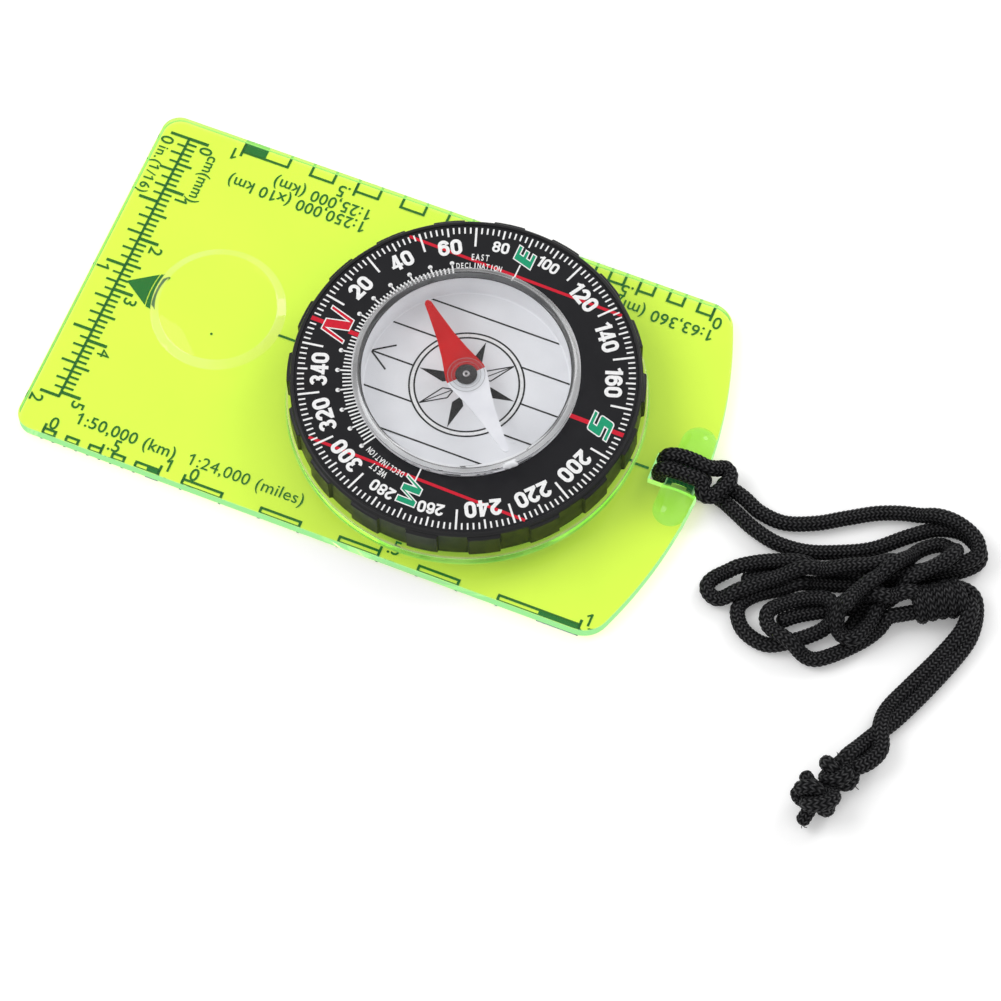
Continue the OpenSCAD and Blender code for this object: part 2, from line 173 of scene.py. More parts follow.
def clear(name, ior, tint, shadow, painted_edge_glow=None, wave=0.02, gloss_share=1.0, painted_glint=0.0):
    """Clear moulding: refracts for the eye, lets tinted light through for shadows.

    The edge glow colour, where given, adds a painted glow that is strongest in the plate's sides. It is
    emission standing in for the light a fluorescent plate carries to its edges, with a faint painted glow
    over every face.
    The glint strength adds painted glints, patches of emission in the tint, on a polished rim.
    """
    s = Shader(name)
    path, geometry = s.node("LightPath"), s.node("NewGeometry")
    through = s.mix_color(s.ramp(s.noise(55), 0.3, 0.7), tint, faded(tint, 0.97))
    ripple = s.bump(s.noise(90, 2.0), wave, 0.0001)
    fresnel = s.out("Fresnel", {"IOR": ior, "Normal": ripple})
    total = s.math("GREATER_THAN", fresnel, 0.9)
    fresnel = s.math("MAXIMUM", s.math("MULTIPLY", fresnel, gloss_share), total)
    inside = s.out("BsdfRefraction", {"Color": through, "IOR": ior, "Roughness": 0.0, "Normal": ripple})
    gloss = s.out("BsdfGlossy", {"Color": rgb(1, 1, 1), "Roughness": 0.03, "Normal": ripple})
    body = s.mix(fresnel, inside, gloss)
    if painted_edge_glow:
        # painted glow: emission on the sides beyond the boss, and a faint green emission on every face,
        # stand in for light carried through the plate
        side_share, side_glow, body_glow = 0.5, 1.3, 0.055
        upright = s.node("SeparateXYZ", {0: geometry.outputs["True Normal"]}).outputs[2]
        side = s.ramp(s.math("ABSOLUTE", upright), 0.75, 0.2)
        on_floor = s.out(
            "VectorMath", {0: geometry.outputs["Position"], 1: (1, 1, 0)}, operation="MULTIPLY")
        reach = s.node("VectorMath", {0: on_floor}, operation="LENGTH").outputs["Value"]
        side = s.math("MULTIPLY", side, s.ramp(reach, 0.0290, 0.0295))  # only beyond the boss
        body = s.mix(s.math("MULTIPLY", side, side_share), body, s.emission(painted_edge_glow, side_glow))
        body = s.out("AddShader", {0: body, 1: s.emission(rgb(0.1, 1.0, 0.3), body_glow)})
    if painted_glint:
        # painted glints: emission in the tint, brighter and fainter in broken patches
        painted_highlight = s.ramp(s.noise(140, 2.0), 0.35, 0.65, painted_glint * 0.3, painted_glint)
        body = s.mix(painted_highlight, body, s.emission(tint, 0.97))
    open_air = s.out("BsdfTransparent", {"Color": shadow})
    passing = s.math("MAXIMUM", path.outputs["Is Shadow Ray"], path.outputs["Is Diffuse Ray"])
    return s.done(s.mix(passing, body, open_air))


def inner_face(name, gloss_share):
    """Where liquid meets plastic: almost nothing is reflected or bent."""
    s = Shader(name)
    film = s.math("MULTIPLY", s.ramp(s.noise(240), 0.3, 0.7, 0.6, 1.0), gloss_share)
    air = s.out("BsdfTransparent", {"Color": rgb(0.985, 0.99, 0.99)})
    gloss = s.out("BsdfGlossy", {"Color": rgb(1, 1, 1), "Roughness": 0.12})
    unshaded = s.math("SUBTRACT", 1.0, s.node("LightPath").outputs["Is Shadow Ray"])
    return s.done(s.mix(s.math("MULTIPLY", film, unshaded), air, gloss))


def milky(name, cover):
    """A thin pale film over clear plastic, in soft brighter and darker clouds: painted light that
    brightens the capsule where it lies in shade.
    """
    s = Shader(name)
    # painted reflections: soft clouds of diffuse white
    painted_light_clouds = s.ramp(s.noise(70, 2.0), 0.3, 0.7, cover - 0.08, cover + 0.08)
    air = s.out("BsdfTransparent", {"Color": rgb(0.97, 0.975, 0.98)})
    return s.done(s.mix(painted_light_clouds, air, s.out("BsdfDiffuse", {"Color": rgb(0.93, 0.935, 0.96)})))


def braided(name):
    """Black polyester filament, with painted light: the braid's crowns are painted lighter and given more
    shine, and the dips where the carriers dive under stay darker as painted shade.
    """
    s = Shader(name)
    threads, patch = s.noise(5200), s.noise(350)
    # painted highlight on the crowns and painted shade in the dips, both from the braid's height
    crown = s.ramp(s.node("Attribute", attribute_name="rise").outputs["Fac"], 0.45, 1.0)
    painted_highlight = s.math("MULTIPLY", s.math("POWER", crown, 2.0), s.ramp(threads, 0.35, 0.62, 0.35, 1.0))
    base = s.mix_color(s.ramp(patch, 0.35, 0.7), rgb(0.003, 0.003, 0.0035), rgb(0.006, 0.006, 0.0065))
    return s.surface(
        s.mix_color(painted_highlight, base, rgb(0.045, 0.045, 0.048)), s.ramp(threads, 0.3, 0.7, 0.34, 0.5),
        s.ramp(painted_highlight, 0.0, 1.0, 0.02, 0.55), s.bump(threads, 0.4, 0.00005))


def needle_material():
    """Red paint towards north, white towards south, split square across the hub."""
    s = Shader("needle_paint_two_tone")
    x, y, _ = s.node("SeparateXYZ", {0: s.node("TexCoord").outputs["Object"]}).outputs
    east, north = polar(1.0, NEEDLE_BEARING)
    along = s.math("ADD", s.math("MULTIPLY", x, east), s.math("MULTIPLY", y, north))
    is_north = s.ramp(along, -0.00003, 0.00003)
    drift = s.ramp(s.noise(300), 0.3, 0.7)
    red = s.mix_color(drift, rgb(0.56, 0.004, 0.006), rgb(0.47, 0.003, 0.005))
    white = s.mix_color(drift, rgb(0.80, 0.80, 0.83), rgb(0.72, 0.72, 0.76))
    return s.surface(s.mix_color(is_north, white, red), 0.35, 0.1, s.bump(s.noise(2500), 0.15, 0.00002))


# ---------------------------------------------------------------- mesh helpers
def polar(r, bearing):
    """The point at a radius and a bearing in degrees, clockwise from +Y."""
    a = math.radians(bearing)
    return r * math.sin(a), r * math.cos(a)


def link(name, data):
    made = bpy.data.objects.new(name, data)
    bpy.context.scene.collection.objects.link(made)
    return made


def attach(obj, body, node=None):
    """Hangs a piece on its body, in place of one of the frame's nodes where one is named."""
    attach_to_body(obj, body)
    if node:
        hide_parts(node)


def clean(mesh, weld=0.0, degenerate=0.0, outwards=False):
    """Merges vertices closer than weld, drops edges shorter than degenerate, turns faces outwards."""
    work = bmesh.new()
    work.from_mesh(mesh)
    if weld:
        bmesh.ops.remove_doubles(work, verts=work.verts, dist=weld)
    if degenerate:
        bmesh.ops.dissolve_degenerate(work, edges=work.edges, dist=degenerate)
    if outwards:
        bmesh.ops.recalc_face_normals(work, faces=work.faces)
    work.to_mesh(mesh)
    work.free()


def smooth(mesh, sharp):
    mesh.shade_smooth()
    mesh.set_sharp_from_angle(angle=math.radians(sharp))


def make_object(name, verts, faces, materials, sharp=32.0, face_slots=None):
    """A closed mesh from millimetre points, smooth except at sharp edges."""
    mesh = bpy.data.meshes.new(name)
    mesh.from_pydata([(x * MM, y * MM, z * MM) for x, y, z in verts], [], faces)
    for mat in materials:
        mesh.materials.append(mat)
    if face_slots is not None:
        mesh.polygons.foreach_set("material_index", face_slots)
    clean(mesh, outwards=True)
    smooth(mesh, sharp)
    return link(name, mesh)


def add_weighted_normals(obj):
    fix = obj.modifiers.new("weighted", "WEIGHTED_NORMAL")
    fix.keep_sharp = True
    fix.weight = 100


def stitch(rows):
    """Quads between neighbouring rings of vertex numbers; a row that repeats one number is a pole."""
    faces = []
    for low, high in zip(rows, rows[1:]):
        for k in range(len(low)):
            n = (k + 1) % len(low)
            face = [low[k], low[n], high[n], high[k]]
            faces.append([v for p, v in enumerate(face) if v not in face[:p]])
    return faces


def lathe(profile, steps=180, centre=(0.0, 0.0), angles=None, radius=None):
    """Turns a closed (r, z) profile about a vertical axis. radius(i, r, angle) may move a point."""
    angles = angles or [360.0 * k / steps for k in range(steps)]
    verts, rows = [], []
    for i, (r, z) in enumerate(profile):
        if r < 1e-6:
            rows.append([len(verts)] * len(angles))
            verts.append((centre[0], centre[1], z))
            continue
        rows.append(list(range(len(verts), len(verts) + len(angles))))
        for a in angles:
            x, y = polar(radius(i, r, a) if radius else r, a)
            verts.append((centre[0] + x, centre[1] + y, z))
    faces, owner = [], []
    for i in range(len(profile)):
        j = (i + 1) % len(profile)
        if max(profile[i][0], profile[j][0]) < 1e-6:
            continue
        band = stitch([rows[i], rows[j]])
        faces += band
        owner += [i] * len(band)
    return verts, faces, owner


def arc(cx, cy, r, a0, a1, n):
    return [(cx + r * math.cos(math.radians(a0 + (a1 - a0) * i / n)),
             cy + r * math.sin(math.radians(a0 + (a1 - a0) * i / n))) for i in range(n + 1)]


def plate_outline():
    """Two front corners, two rear corners and the curved lanyard edge, as in the frame."""
    end_r, corner, front = 75.0, 4.5, 3.0
    cx = PLATE_HALF - corner
    half = math.degrees(math.asin(cx / (end_r - corner)))
    ecy = end_r - PLATE_BACK
    cy = ecy - (end_r - corner) * math.cos(math.radians(half))
    fx, fy = PLATE_HALF - front, PLATE_FRONT - front
    return (arc(fx, fy, front, 0, 90, 14) + arc(-fx, fy, front, 90, 180, 14)
            + arc(-cx, cy, corner, 180, 270 - half, 14)
            + arc(0, ecy, end_r, 271 - half, 269 + half, 40)
            + arc(cx, cy, corner, 270 + half, 360, 14))


def inset(points, distance):
    """Moves a convex outline inwards."""
    moved = []
    for i, p in enumerate(points):
        a, b = points[i - 1], points[(i + 1) % len(points)]
        t = Vector((b[0] - a[0], b[1] - a[1])).normalized()
        moved.append((p[0] - t.y * distance, p[1] + t.x * distance))
    return moved


def slab(name, outline, z0, z1, round_r=0.0):
    """A plate with rounded long edges."""
    turns = 4 if round_r > 0 else 0
    levels = []
    for k in range(turns + 1):
        a = math.radians(90.0 * k / max(turns, 1))
        levels.append((z0 + round_r * (1 - math.sin(a)), round_r * (1 - math.cos(a))))
    levels = levels[::-1]
    levels += [(z1 + z0 - z, d) for z, d in levels[::-1]]
    n = len(outline)
    verts = [(x, y, z) for z, d in levels for x, y in inset(outline, d)]
    faces = stitch([list(range(i * n, i * n + n)) for i in range(len(levels))])
    faces.append(list(range(n))[::-1])
    faces.append([(len(levels) - 1) * n + k for k in range(n)])
    return make_object(name, verts, faces, [M_PLATE])


def turned(profile, **options):
    """A lathe-turned tool for a boolean."""
    return make_object("tool", *lathe(profile, **options)[:2], [M_PLATE])


def combine(target, tool, operation):
    """Applies one exact boolean to target, removes the tool and merges sliver edges."""
    step = target.modifiers.new("cut", "BOOLEAN")
    step.operation = operation
    step.object = tool
    step.solver = "EXACT"
    graph = bpy.context.evaluated_depsgraph_get()
    result = bpy.data.meshes.new_from_object(target.evaluated_get(graph))
    target.modifiers.clear()
    clean(result, weld=0.000003, degenerate=0.000001)
    old = target.data
    target.data = result
    bpy.data.meshes.remove(old)
    bpy.data.objects.remove(tool)


def oval(cx, cy, rx, ry, a0, a1, n=12):
    return [(cx + rx * x, cy + ry * y) for x, y in arc(0, 0, 1.0, a0, a1, n)]


def loop(low, high, half):
    """Centre line of an upright loop with round corners."""
    r = min(half, (high - low) / 2)
    x = half - r
    return (arc(x, high - r, r, 0, 90, 6) + arc(-x, high - r, r, 90, 180, 6)
            + arc(-x, low + r, r, 180, 270, 6) + arc(x, low + r, r, 270, 360, 6))


def digit_strokes(digit, w, h, s):
    """Strokes of one condensed digit inside a w by h box: (centre line, closed, width)."""
    a, b = (w - s) / 2, (h - s) / 2
    waist = 0.03 * h
    bar = -0.22 * h
    if digit == "0":
        return [(loop(-b, b, a), True, s)]
    if digit == "1":
        return [([(a - 0.02, -h / 2), (a - 0.02, h / 2)], False, s),
                ([(a, h / 2 - s * 0.42), (-w / 2, h / 2 - 0.26 * h)], False, s * 0.75)]
    if digit == "2":
        return [(oval(0, b - 0.25 * h, a, 0.25 * h, 172, -32) + [(-a, -b + s * 0.15)], False, s),
                ([(-w / 2, -b), (w / 2, -b)], False, s * 0.95)]
    if digit == "3":
        return [(oval(0, (b + waist) / 2, a * 0.95, (b - waist) / 2, 168, -90), False, s * 0.92),
                (oval(0, (waist - b) / 2, a, (b + waist) / 2, 90, -168), False, s * 0.92)]
    if digit == "4":
        return [([(0.18 * w, -h / 2), (0.18 * w, h / 2)], False, s),
                ([(-w / 2, bar), (w / 2, bar)], False, s * 0.8),
                ([(0.1 * w, h / 2 - 0.12 * s), (-a * 0.92, bar)], False, s * 0.72)]
    if digit == "6":
        return [(loop(-b, 0.11 * h, a), True, s * 0.95),
                (oval(0, b - a, a, a, 8, 180, 10) + [(-a, -b + a)], False, s)]
    return [(loop(-b, waist, a), True, s * 0.92), (loop(waist, b, a * 0.92), True, s * 0.92)]


def letter_outline(letter):
    """The four heavy cardinal letters, about their own centres; all but the W lean."""
    lean, leg, heavy = 0.268, 0.79, 2.13
    if letter == "N":
        x, y = 2.33, 2.2
        half = [(-x, -y), (-x, y), (heavy - x, y), (x - leg - 0.1, -1.0), (x - leg, y)]
        points = half + [(-px, -py) for px, py in half]
    elif letter == "E":
        x, y, gap, arm = 1.42, 1.72, 0.85, 0.42
        points = [(-x, y), (-x, -y), (x, -y), (x, -gap), (0.1, -gap), (0.1, -arm), (x - 0.12, -arm)]
        points += [(px, -py) for px, py in points[:1:-1]]
    elif letter == "S":
        x, y = 1.8, 1.94
        half = [(x, y), (x, 1.1), (-0.2, 1.1), (-0.2, 0.7)] + arc(x - 0.5, 0.2, 0.5, 90, 0, 5)
        half += arc(x - 0.5, 0.5 - y, 0.5, 0, -90, 5)
        points = half + [(-px, -py) for px, py in half]
    else:
        y, lean = 1.67, 0.0
        points = [
            (-2.57, y), (-1.3, y), (-1.32, -0.26), (-0.36, y), (0.9, y), (0.93, -0.1), (1.89, y),
            (2.58, y), (0.91, -y), (-0.4, -y), (-0.41, 0.28), (-1.42, -y), (-2.57, -y)]
    return [(px + lean * py, py) for px, py in points]


def shrink(points, distance):
    """Moves any outline inwards by the same distance all round."""
    area = sum(points[i - 1][0] * q[1] - q[0] * points[i - 1][1] for i, q in enumerate(points))
    inwards = distance if area > 0 else -distance
    moved = []
    for i, q in enumerate(points):
        before = (Vector(q) - Vector(points[i - 1])).normalized()
        after = (Vector(points[(i + 1) % len(points)]) - Vector(q)).normalized()
        push = Vector((-before.y - after.y, before.x + after.x)) / max(1 + before.dot(after), 0.12)
        moved.append((q[0] + push.x * inwards, q[1] + push.y * inwards))
    return moved


class Print:
    """Flat ink work, gathered into one closed mesh of thin slabs."""

    cap_height = None

    def __init__(self, z, thick=0.012):
        self.z, self.thick = z, thick
        self.verts, self.faces = [], []

    def levels(self, lift=0.0):
        return self.z + lift, self.z + lift + self.thick

    def shape(self, points, lift=0.0):
        """A filled outline."""
        base, n = len(self.verts), len(points)
        self.verts += [(x, y, z) for z in self.levels(lift) for x, y in points]
        self.faces.append([base + i for i in range(n)][::-1])
        self.faces.append([base + n + i for i in range(n)])
        self.faces += stitch([range(base, base + n), range(base + n, base + 2 * n)])

    def line(self, a, b, width):
        along = Vector((b[0] - a[0], b[1] - a[1])).normalized()
        sx, sy = -along.y * width / 2, along.x * width / 2
        self.shape([(a[0] - sx, a[1] - sy), (b[0] - sx, b[1] - sy),
                    (b[0] + sx, b[1] + sy), (a[0] + sx, a[1] + sy)])

    def radial(self, bearing, r0, r1, width):
        self.line(polar(r0, bearing), polar(r1, bearing), width)

    def dot(self, x, y, r):
        self.shape(arc(x, y, r, 0, 345, 23))

    def circle_line(self, r, width, n=120):
        """A whole thin ring as one closed band."""
        base = len(self.verts)
        spokes = [(math.cos(2 * math.pi * k / n), math.sin(2 * math.pi * k / n)) for k in range(n)]
        for z in self.levels():
            for rr in (r - width / 2, r + width / 2):
                self.verts += [(rr * x, rr * y, z) for x, y in spokes]
        low_in, low_out, top_in, top_out = (base + i * n for i in range(4))
        for k in range(n):
            m = (k + 1) % n
            for a, b in ((top_in, top_out), (low_out, low_in)):
                self.faces.append([a + k, b + k, b + m, a + m])
            for a, b in ((low_out, top_out), (top_in, low_in)):
                self.faces.append([a + k, a + m, b + m, b + k])

    def ribbon(self, points, width, closed=False, lift=0.0):
        """A stroke of even width along a centre line, with mitred joints."""
        shortest = 1e-4
        points = [Vector(q) for q in points]
        kept = points[:1] + [q for last, q in zip(points, points[1:]) if (q - last).length > shortest]
        if closed and (kept[0] - kept[-1]).length < shortest:
            kept.pop()
        n = len(kept)
        sides = []
        for i, q in enumerate(kept):
            before = q - kept[i - 1] if closed or i > 0 else kept[1] - q
            after = kept[(i + 1) % n] - q if closed or i < n - 1 else before
            u, v = before.normalized(), after.normalized()
            sides.append(Vector((-u.y - v.y, u.x + v.x)) / max(1 + u.dot(v), 0.35) * width / 2)
        base = len(self.verts)
        for z in self.levels(lift):
            for sign in (1, -1):
                self.verts += [(q.x + sign * w.x, q.y + sign * w.y, z) for q, w in zip(kept, sides)]
        low_l, low_r, top_l, top_r = (base + k * n for k in range(4))
        corners = ((top_l, top_r), (low_r, low_l), (low_l, top_l), (top_r, low_r))
        for i in range(n if closed else n - 1):
            j = (i + 1) % n
            self.faces += [[a + i, b + i, b + j, a + j] for a, b in corners]
        if not closed:
            self.faces.append([low_l, low_r, top_r, top_l])
            self.faces.append([top_l + n - 1, top_r + n - 1, low_r + n - 1, low_l + n - 1])

    def numeral(self, number, height, width, stroke, r, bearing):
        """Condensed bold numerals, their tops outwards from the axis."""
        gap = 0.09 * width
        widths = [width * (0.62 if digit == "1" else 1.0) for digit in number]
        pen = -(sum(widths) + gap * (len(number) - 1)) / 2
        a = math.radians(bearing)
        for digit, wide in zip(number, widths):
            for k, (path, closed, heavy) in enumerate(digit_strokes(digit, wide, height, stroke)):
                placed = []
                for x, y in path:
                    x, y = x + pen + wide / 2, y + r
                    placed.append((x * math.cos(a) + y * math.sin(a), y * math.cos(a) - x * math.sin(a)))
                self.ribbon(placed, heavy, closed, 0.004 * k)
            pen += wide + gap

    def lettering(self, words, size, bold=0.0, spacing=1.0):
        """Points and faces of one line in Blender's own font, starting at x = 0."""
        curve = bpy.data.curves.new("lettering", "FONT")
        curve.body = words
        curve.size = size
        curve.align_y = "BOTTOM_BASELINE"
        curve.offset = 0.0 if "4" in words else bold  # any offset closes this font's 4
        curve.space_character = spacing
        curve.resolution_u = 4
        curve.extrude = self.thick / 2
        holder = link("lettering", curve)
        graph = bpy.context.evaluated_depsgraph_get()
        mesh = bpy.data.meshes.new_from_object(holder.evaluated_get(graph))
        points = [v.co.copy() for v in mesh.vertices]
        faces = [list(p.vertices) for p in mesh.polygons]
        bpy.data.objects.remove(holder)
        bpy.data.curves.remove(curve)
        bpy.data.meshes.remove(mesh)
        return points, faces

    def text(self, words, height, at, turn, squeeze=1.0, bold=0.012, spacing=1.0):
        """A centred line of lettering; turn is the reading direction in degrees from +X."""
        if Print.cap_height is None:
            ys = [q.y for q in self.lettering("H", 1.0)[0]]
            Print.cap_height = max(ys) - min(ys)
        style = (height / Print.cap_height, bold * height, spacing)
        points, faces = self.lettering(words, *style)
        xs = [q.x for q in points]
        place = (Matrix.Translation((at[0], at[1], self.z + self.thick / 2))
                 @ Matrix.Rotation(math.radians(turn), 4, "Z") @ Matrix.Diagonal((squeeze, 1, 1, 1))
                 @ Matrix.Translation((-(min(xs) + max(xs)) / 2, -height / 2, 0)))
        base = len(self.verts)
        self.verts += [tuple(place @ q) for q in points]
        self.faces += [[base + i for i in face] for face in faces]
        for k, letter in enumerate(words):
            if letter == "1":
                stem = max(q.x for q in self.lettering(words[:k + 1], *style)[0])
                flag = ((stem - 0.07 * height, 0.96 * height), (stem - 0.4 * height, 0.72 * height))
                placed = [tuple(place @ Vector((x, y, 0)))[:2] for x, y in flag]
                self.ribbon(placed, 0.13 * height, lift=0.004)

    def piece(self, name, mat, body, slot, turn=0.0):
        """Makes the object; turn swings the whole print clockwise about the axis."""
        mesh = bpy.data.meshes.new(name)
        swing = Matrix.Rotation(-math.radians(turn), 3, "Z")
        mesh.from_pydata([swing @ Vector(v) * MM for v in self.verts], [], self.faces)
        mesh.materials.append(mat)
        clean(mesh, weld=0.0000002)
        attach(link(name, mesh), body)


# ---------------------------------------------------------------- materials
PLATE_SHADE = rgb(0.93, 1.0, 0.52)
CAPSULE_SHADE = rgb(0.97, 0.97, 0.975)
# the plate: its tint is its own colour, and its edge glow is a painted glow
M_PLATE = clear(
    "plate_acrylic_clear", 1.49, rgb(0.955, 1.0, 0.49), PLATE_SHADE, painted_edge_glow=rgb(0.50, 1.0, 0.42),
    gloss_share=0.4)
# the lens's step and the boss's top edge: painted glints
M_PLATE_RIM = clear("plate_rim_painted_glints", 1.49, rgb(0.97, 1.0, 0.62), PLATE_SHADE, painted_glint=0.2)
# the boss's wall and the bar's lumps: a greener tint and strong painted glints, a painted glow along them
M_BOSS_WALL = clear("boss_wall_clear", 1.49, rgb(0.55, 1.0, 0.20), PLATE_SHADE, painted_glint=0.45)
M_CAPSULE = clear(
    "capsule_outer_face", 1.47, rgb(0.985, 0.985, 0.99), CAPSULE_SHADE, wave=0.01, gloss_share=0.45)
# the window's bevel: boosted reflection and painted glints for its bright rim
M_BEVEL = clear(
    "capsule_bevel_painted_glints", 1.47, rgb(0.98, 0.98, 0.985), CAPSULE_SHADE, gloss_share=2.0, painted_glint=0.3)
M_INNER = inner_face("capsule_inner_face", 0.03)
# the floor: a pale film, partly the floor's own whiteness and partly painted light, its clouds painted
# reflections
M_MILKY = milky("capsule_floor_film_painted_light", 0.8)
# the wall: painted light only, brightening a clear wall that lies in the bezel's shade
M_WALL_PAINTED_LIGHT = milky("capsule_wall_painted_light", 0.88)
M_SEAL = plastic("seal_white_resin", rgb(0.78, 0.79, 0.81), rgb(0.66, 0.67, 0.70), 0.3, 0.5)
# painted highlight: a pale metal ring standing in for the bright ring seen on the hub cap
M_RING_HIGHLIGHT = metal("bearing_ring_painted_highlight", rgb(0.5, 0.48, 0.49), 0.4)
M_BEZEL = plastic(
    "bezel_black_plastic", rgb(0.007, 0.007, 0.008), rgb(0.010, 0.010, 0.011), 0.42, 0.28, depth=0.000006)
M_DIAL = plastic("dial_black_satin", rgb(0.007, 0.007, 0.009), rgb(0.010, 0.010, 0.012), 0.42, 0.2)
M_RUBBER = plastic("drag_rubber", rgb(0.02, 0.02, 0.02), rgb(0.03, 0.03, 0.03), 0.7, 0.3)
M_CORD = braided("braided_cord_black")
M_NEEDLE = needle_material()
M_SEAM = ink("bond_line_grey", rgb(0.06, 0.06, 0.065))
M_DISC_EDGE = ink("disc_edge_grey", rgb(0.28, 0.25, 0.27))
M_GREEN_INK = ink("ink_dark_green", rgb(0.0, 0.035, 0.015), 0.7)
M_TEAL_INK = ink("ink_green_fill", rgb(0.0, 0.065, 0.18), 0.7)
M_WHITE_INK = ink("ink_white", rgb(0.86, 0.86, 0.86))
M_RED_INK = ink("ink_red", rgb(0.62, 0.01, 0.03))
M_LETTER_GREEN = ink("ink_letter_green", rgb(0.01, 0.32, 0.16))
M_BLACK_INK = ink("ink_black", rgb(0.006, 0.006, 0.007))


# ---------------------------------------------------------------- base plate
def lens_profile():
    rise, step, foot = 1.0, 0.8, 1.0
    dome_r = (LENS_R ** 2 + rise ** 2) / (2 * rise)
    top = PLATE_T + step
    points = [(0.0, foot), (LENS_R + 1.55, foot), (LENS_R + 1.55, PLATE_T - 0.03),
              (LENS_R + 1.3, PLATE_T + 0.03), (LENS_R + 0.2, top - 0.12), (LENS_R, top - 0.03)]
    for i in range(1, 15):
        r = LENS_R * (1 - i / 14)
        points.append((r, top + rise - dome_r + math.sqrt(dome_r ** 2 - r ** 2)))
    return points


def bar_rod():
    """The bar that takes the cord, with a rounded upright section."""
    section = arc(0, BAR_R, BAR_R, 0, 180, 12) + arc(0, -BAR_R, BAR_R, 180, 360, 12)
    n = len(section)
    verts = [(x, BAR_Y + y, BAR_Z + z) for x in (-BAR_HALF, BAR_HALF) for z, y in section]
    faces = [list(range(n)), list(range(2 * n - 1, n - 1, -1))] + stitch([range(n), range(n, 2 * n)])
    return make_object("tool", verts, faces, [M_PLATE])


def bar_lump(side, outline):
    """A crowned lump beside the cord's gap, trimmed to the plate's outline."""
    r, start, reach, axis_z, turns = 3.2, 0.8, 6.2, 1.0, 32
    profile = [(start, 0.0), (start, r)]
    for a in range(0, 91, 9):
        profile.append((reach + r * math.sin(math.radians(a)), r * math.cos(math.radians(a))))
    verts, rows = [], []
    for x, rr in profile:
        if rr < 1e-6:
            rows.append([len(verts)] * turns)
            verts.append((side * x, BAR_Y, axis_z))
            continue
        rows.append(list(range(len(verts), len(verts) + turns)))
        for k in range(turns):
            a = 2 * math.pi * k / turns
            verts.append((side * x, BAR_Y + rr * math.cos(a), axis_z + rr * math.sin(a)))
    lump = make_object("tool", verts, stitch(rows), [M_PLATE])
    combine(lump, slab("trim", inset(outline, 0.02), 0.02, 8.0), "INTERSECT")
    return lump


def build_plate():
    outline = plate_outline()
    plate = slab("plate_moulding", outline, 0.0, PLATE_T, 0.35)
    boss = [(18.0, 1.0), (BOSS_R + 0.3, 1.0), (BOSS_R + 0.3, PLATE_T - 0.05),
            (BOSS_R + 0.08, PLATE_T + 0.08), (BOSS_R, PLATE_T + 0.3), (BOSS_R, BOSS_TOP - 0.3),
            (BOSS_R - 0.1, BOSS_TOP - 0.1), (BOSS_R - 0.3, BOSS_TOP), (18.0, BOSS_TOP)]
    combine(plate, turned(boss, steps=240), "UNION")
    combine(plate, turned(lens_profile(), steps=120, centre=(0.0, LENS_Y)), "UNION")
    # the bore and the groove have their corners between the boss's, so that no edges coincide
    bore = [(0.0, -1.0), (22.8, -1.0), (22.8, 1.3), (20.2, 1.3), (20.2, 9.0), (0.0, 9.0)]
    combine(plate, turned(bore, angles=[0.61 + 1.8 * k for k in range(200)]), "DIFFERENCE")
    groove = [(23.2, 3.3), (24.8, 3.3), (24.8, 9.0), (23.2, 9.0)]
    combine(plate, turned(groove, angles=[1.13 + 2.25 * k for k in range(160)]), "DIFFERENCE")
    for side in (1, -1):
        combine(plate, bar_lump(side, outline), "UNION")
    slot = [(-2.4, -PLATE_BACK - 3), (2.4, -PLATE_BACK - 3), (2.4, -31.5), (-2.4, -31.5)]
    combine(plate, slab("tool", slot, -2.0, 9.0), "DIFFERENCE")
    combine(plate, bar_rod(), "UNION")
    plate.data.materials.clear()
    for mat in (M_PLATE, M_PLATE_RIM, M_BOSS_WALL):
        plate.data.materials.append(mat)
    finish_rims(plate.data)
    smooth(plate.data, 32)
    add_weighted_normals(plate)
    attach(plate, "plate", "baseplate")


def finish_rims(mesh):
    """Gives the lens's step, the boss's edge and wall and the bar's lumps the materials with painted
    glints.
    """
    rim, wall = 1, 2
    for face in mesh.polygons:
        x, y, z = face.center / MM
        if z < PLATE_T + 0.01:
            continue
        if -0.05 < math.hypot(x, y - LENS_Y) - LENS_R < 1.6:
            face.material_index = rim
        elif abs(math.hypot(x, y) - BOSS_R) < 0.35:
            face.material_index = rim if z > BOSS_TOP - 0.35 else wall
        elif 2.5 < abs(x) < 9.5 and abs(y - BAR_Y) < 3.4:
            face.material_index = wall


def scale_boxes(dark, fill, x_line, out, y0, y1):
    """Open map-scale boxes of tenths between marks 0 and 1, with the last tenth filled."""
    x_edge = out * (PLATE_HALF - 0.06)
    tenth = [y0 + (y1 - y0) * k / 10 for k in range(10)] + [y1]
    way = 1 if y1 > y0 else -1
    for k in range(0, 10, 2):
        a, b = tenth[k], tenth[k + 1]
        if k == 8:
            b = y1
            filled = [(x_line, tenth[9]), (x_edge, tenth[9]), (x_edge, b), (x_line, b)]
            fill.shape(filled[::out * way])
        half = way * PRINT_LINE / 2
        dark.line((x_line, a - half), (x_line, b + half), PRINT_LINE)
        for y in (a, b):
            dark.line((x_line, y), (x_edge, y), PRINT_LINE)
    for y in (y0, (y0 + y1) / 2, y1):
        dark.line((x_line - out * 0.9, y), (x_edge, y), PRINT_LINE)


def bowed(middle, drop, half):
    """A shallow arch from one side of the plate's centre line to the other."""
    return [(half * t / 6, middle - drop * (t / 6) ** 2) for t in range(-6, 7)]


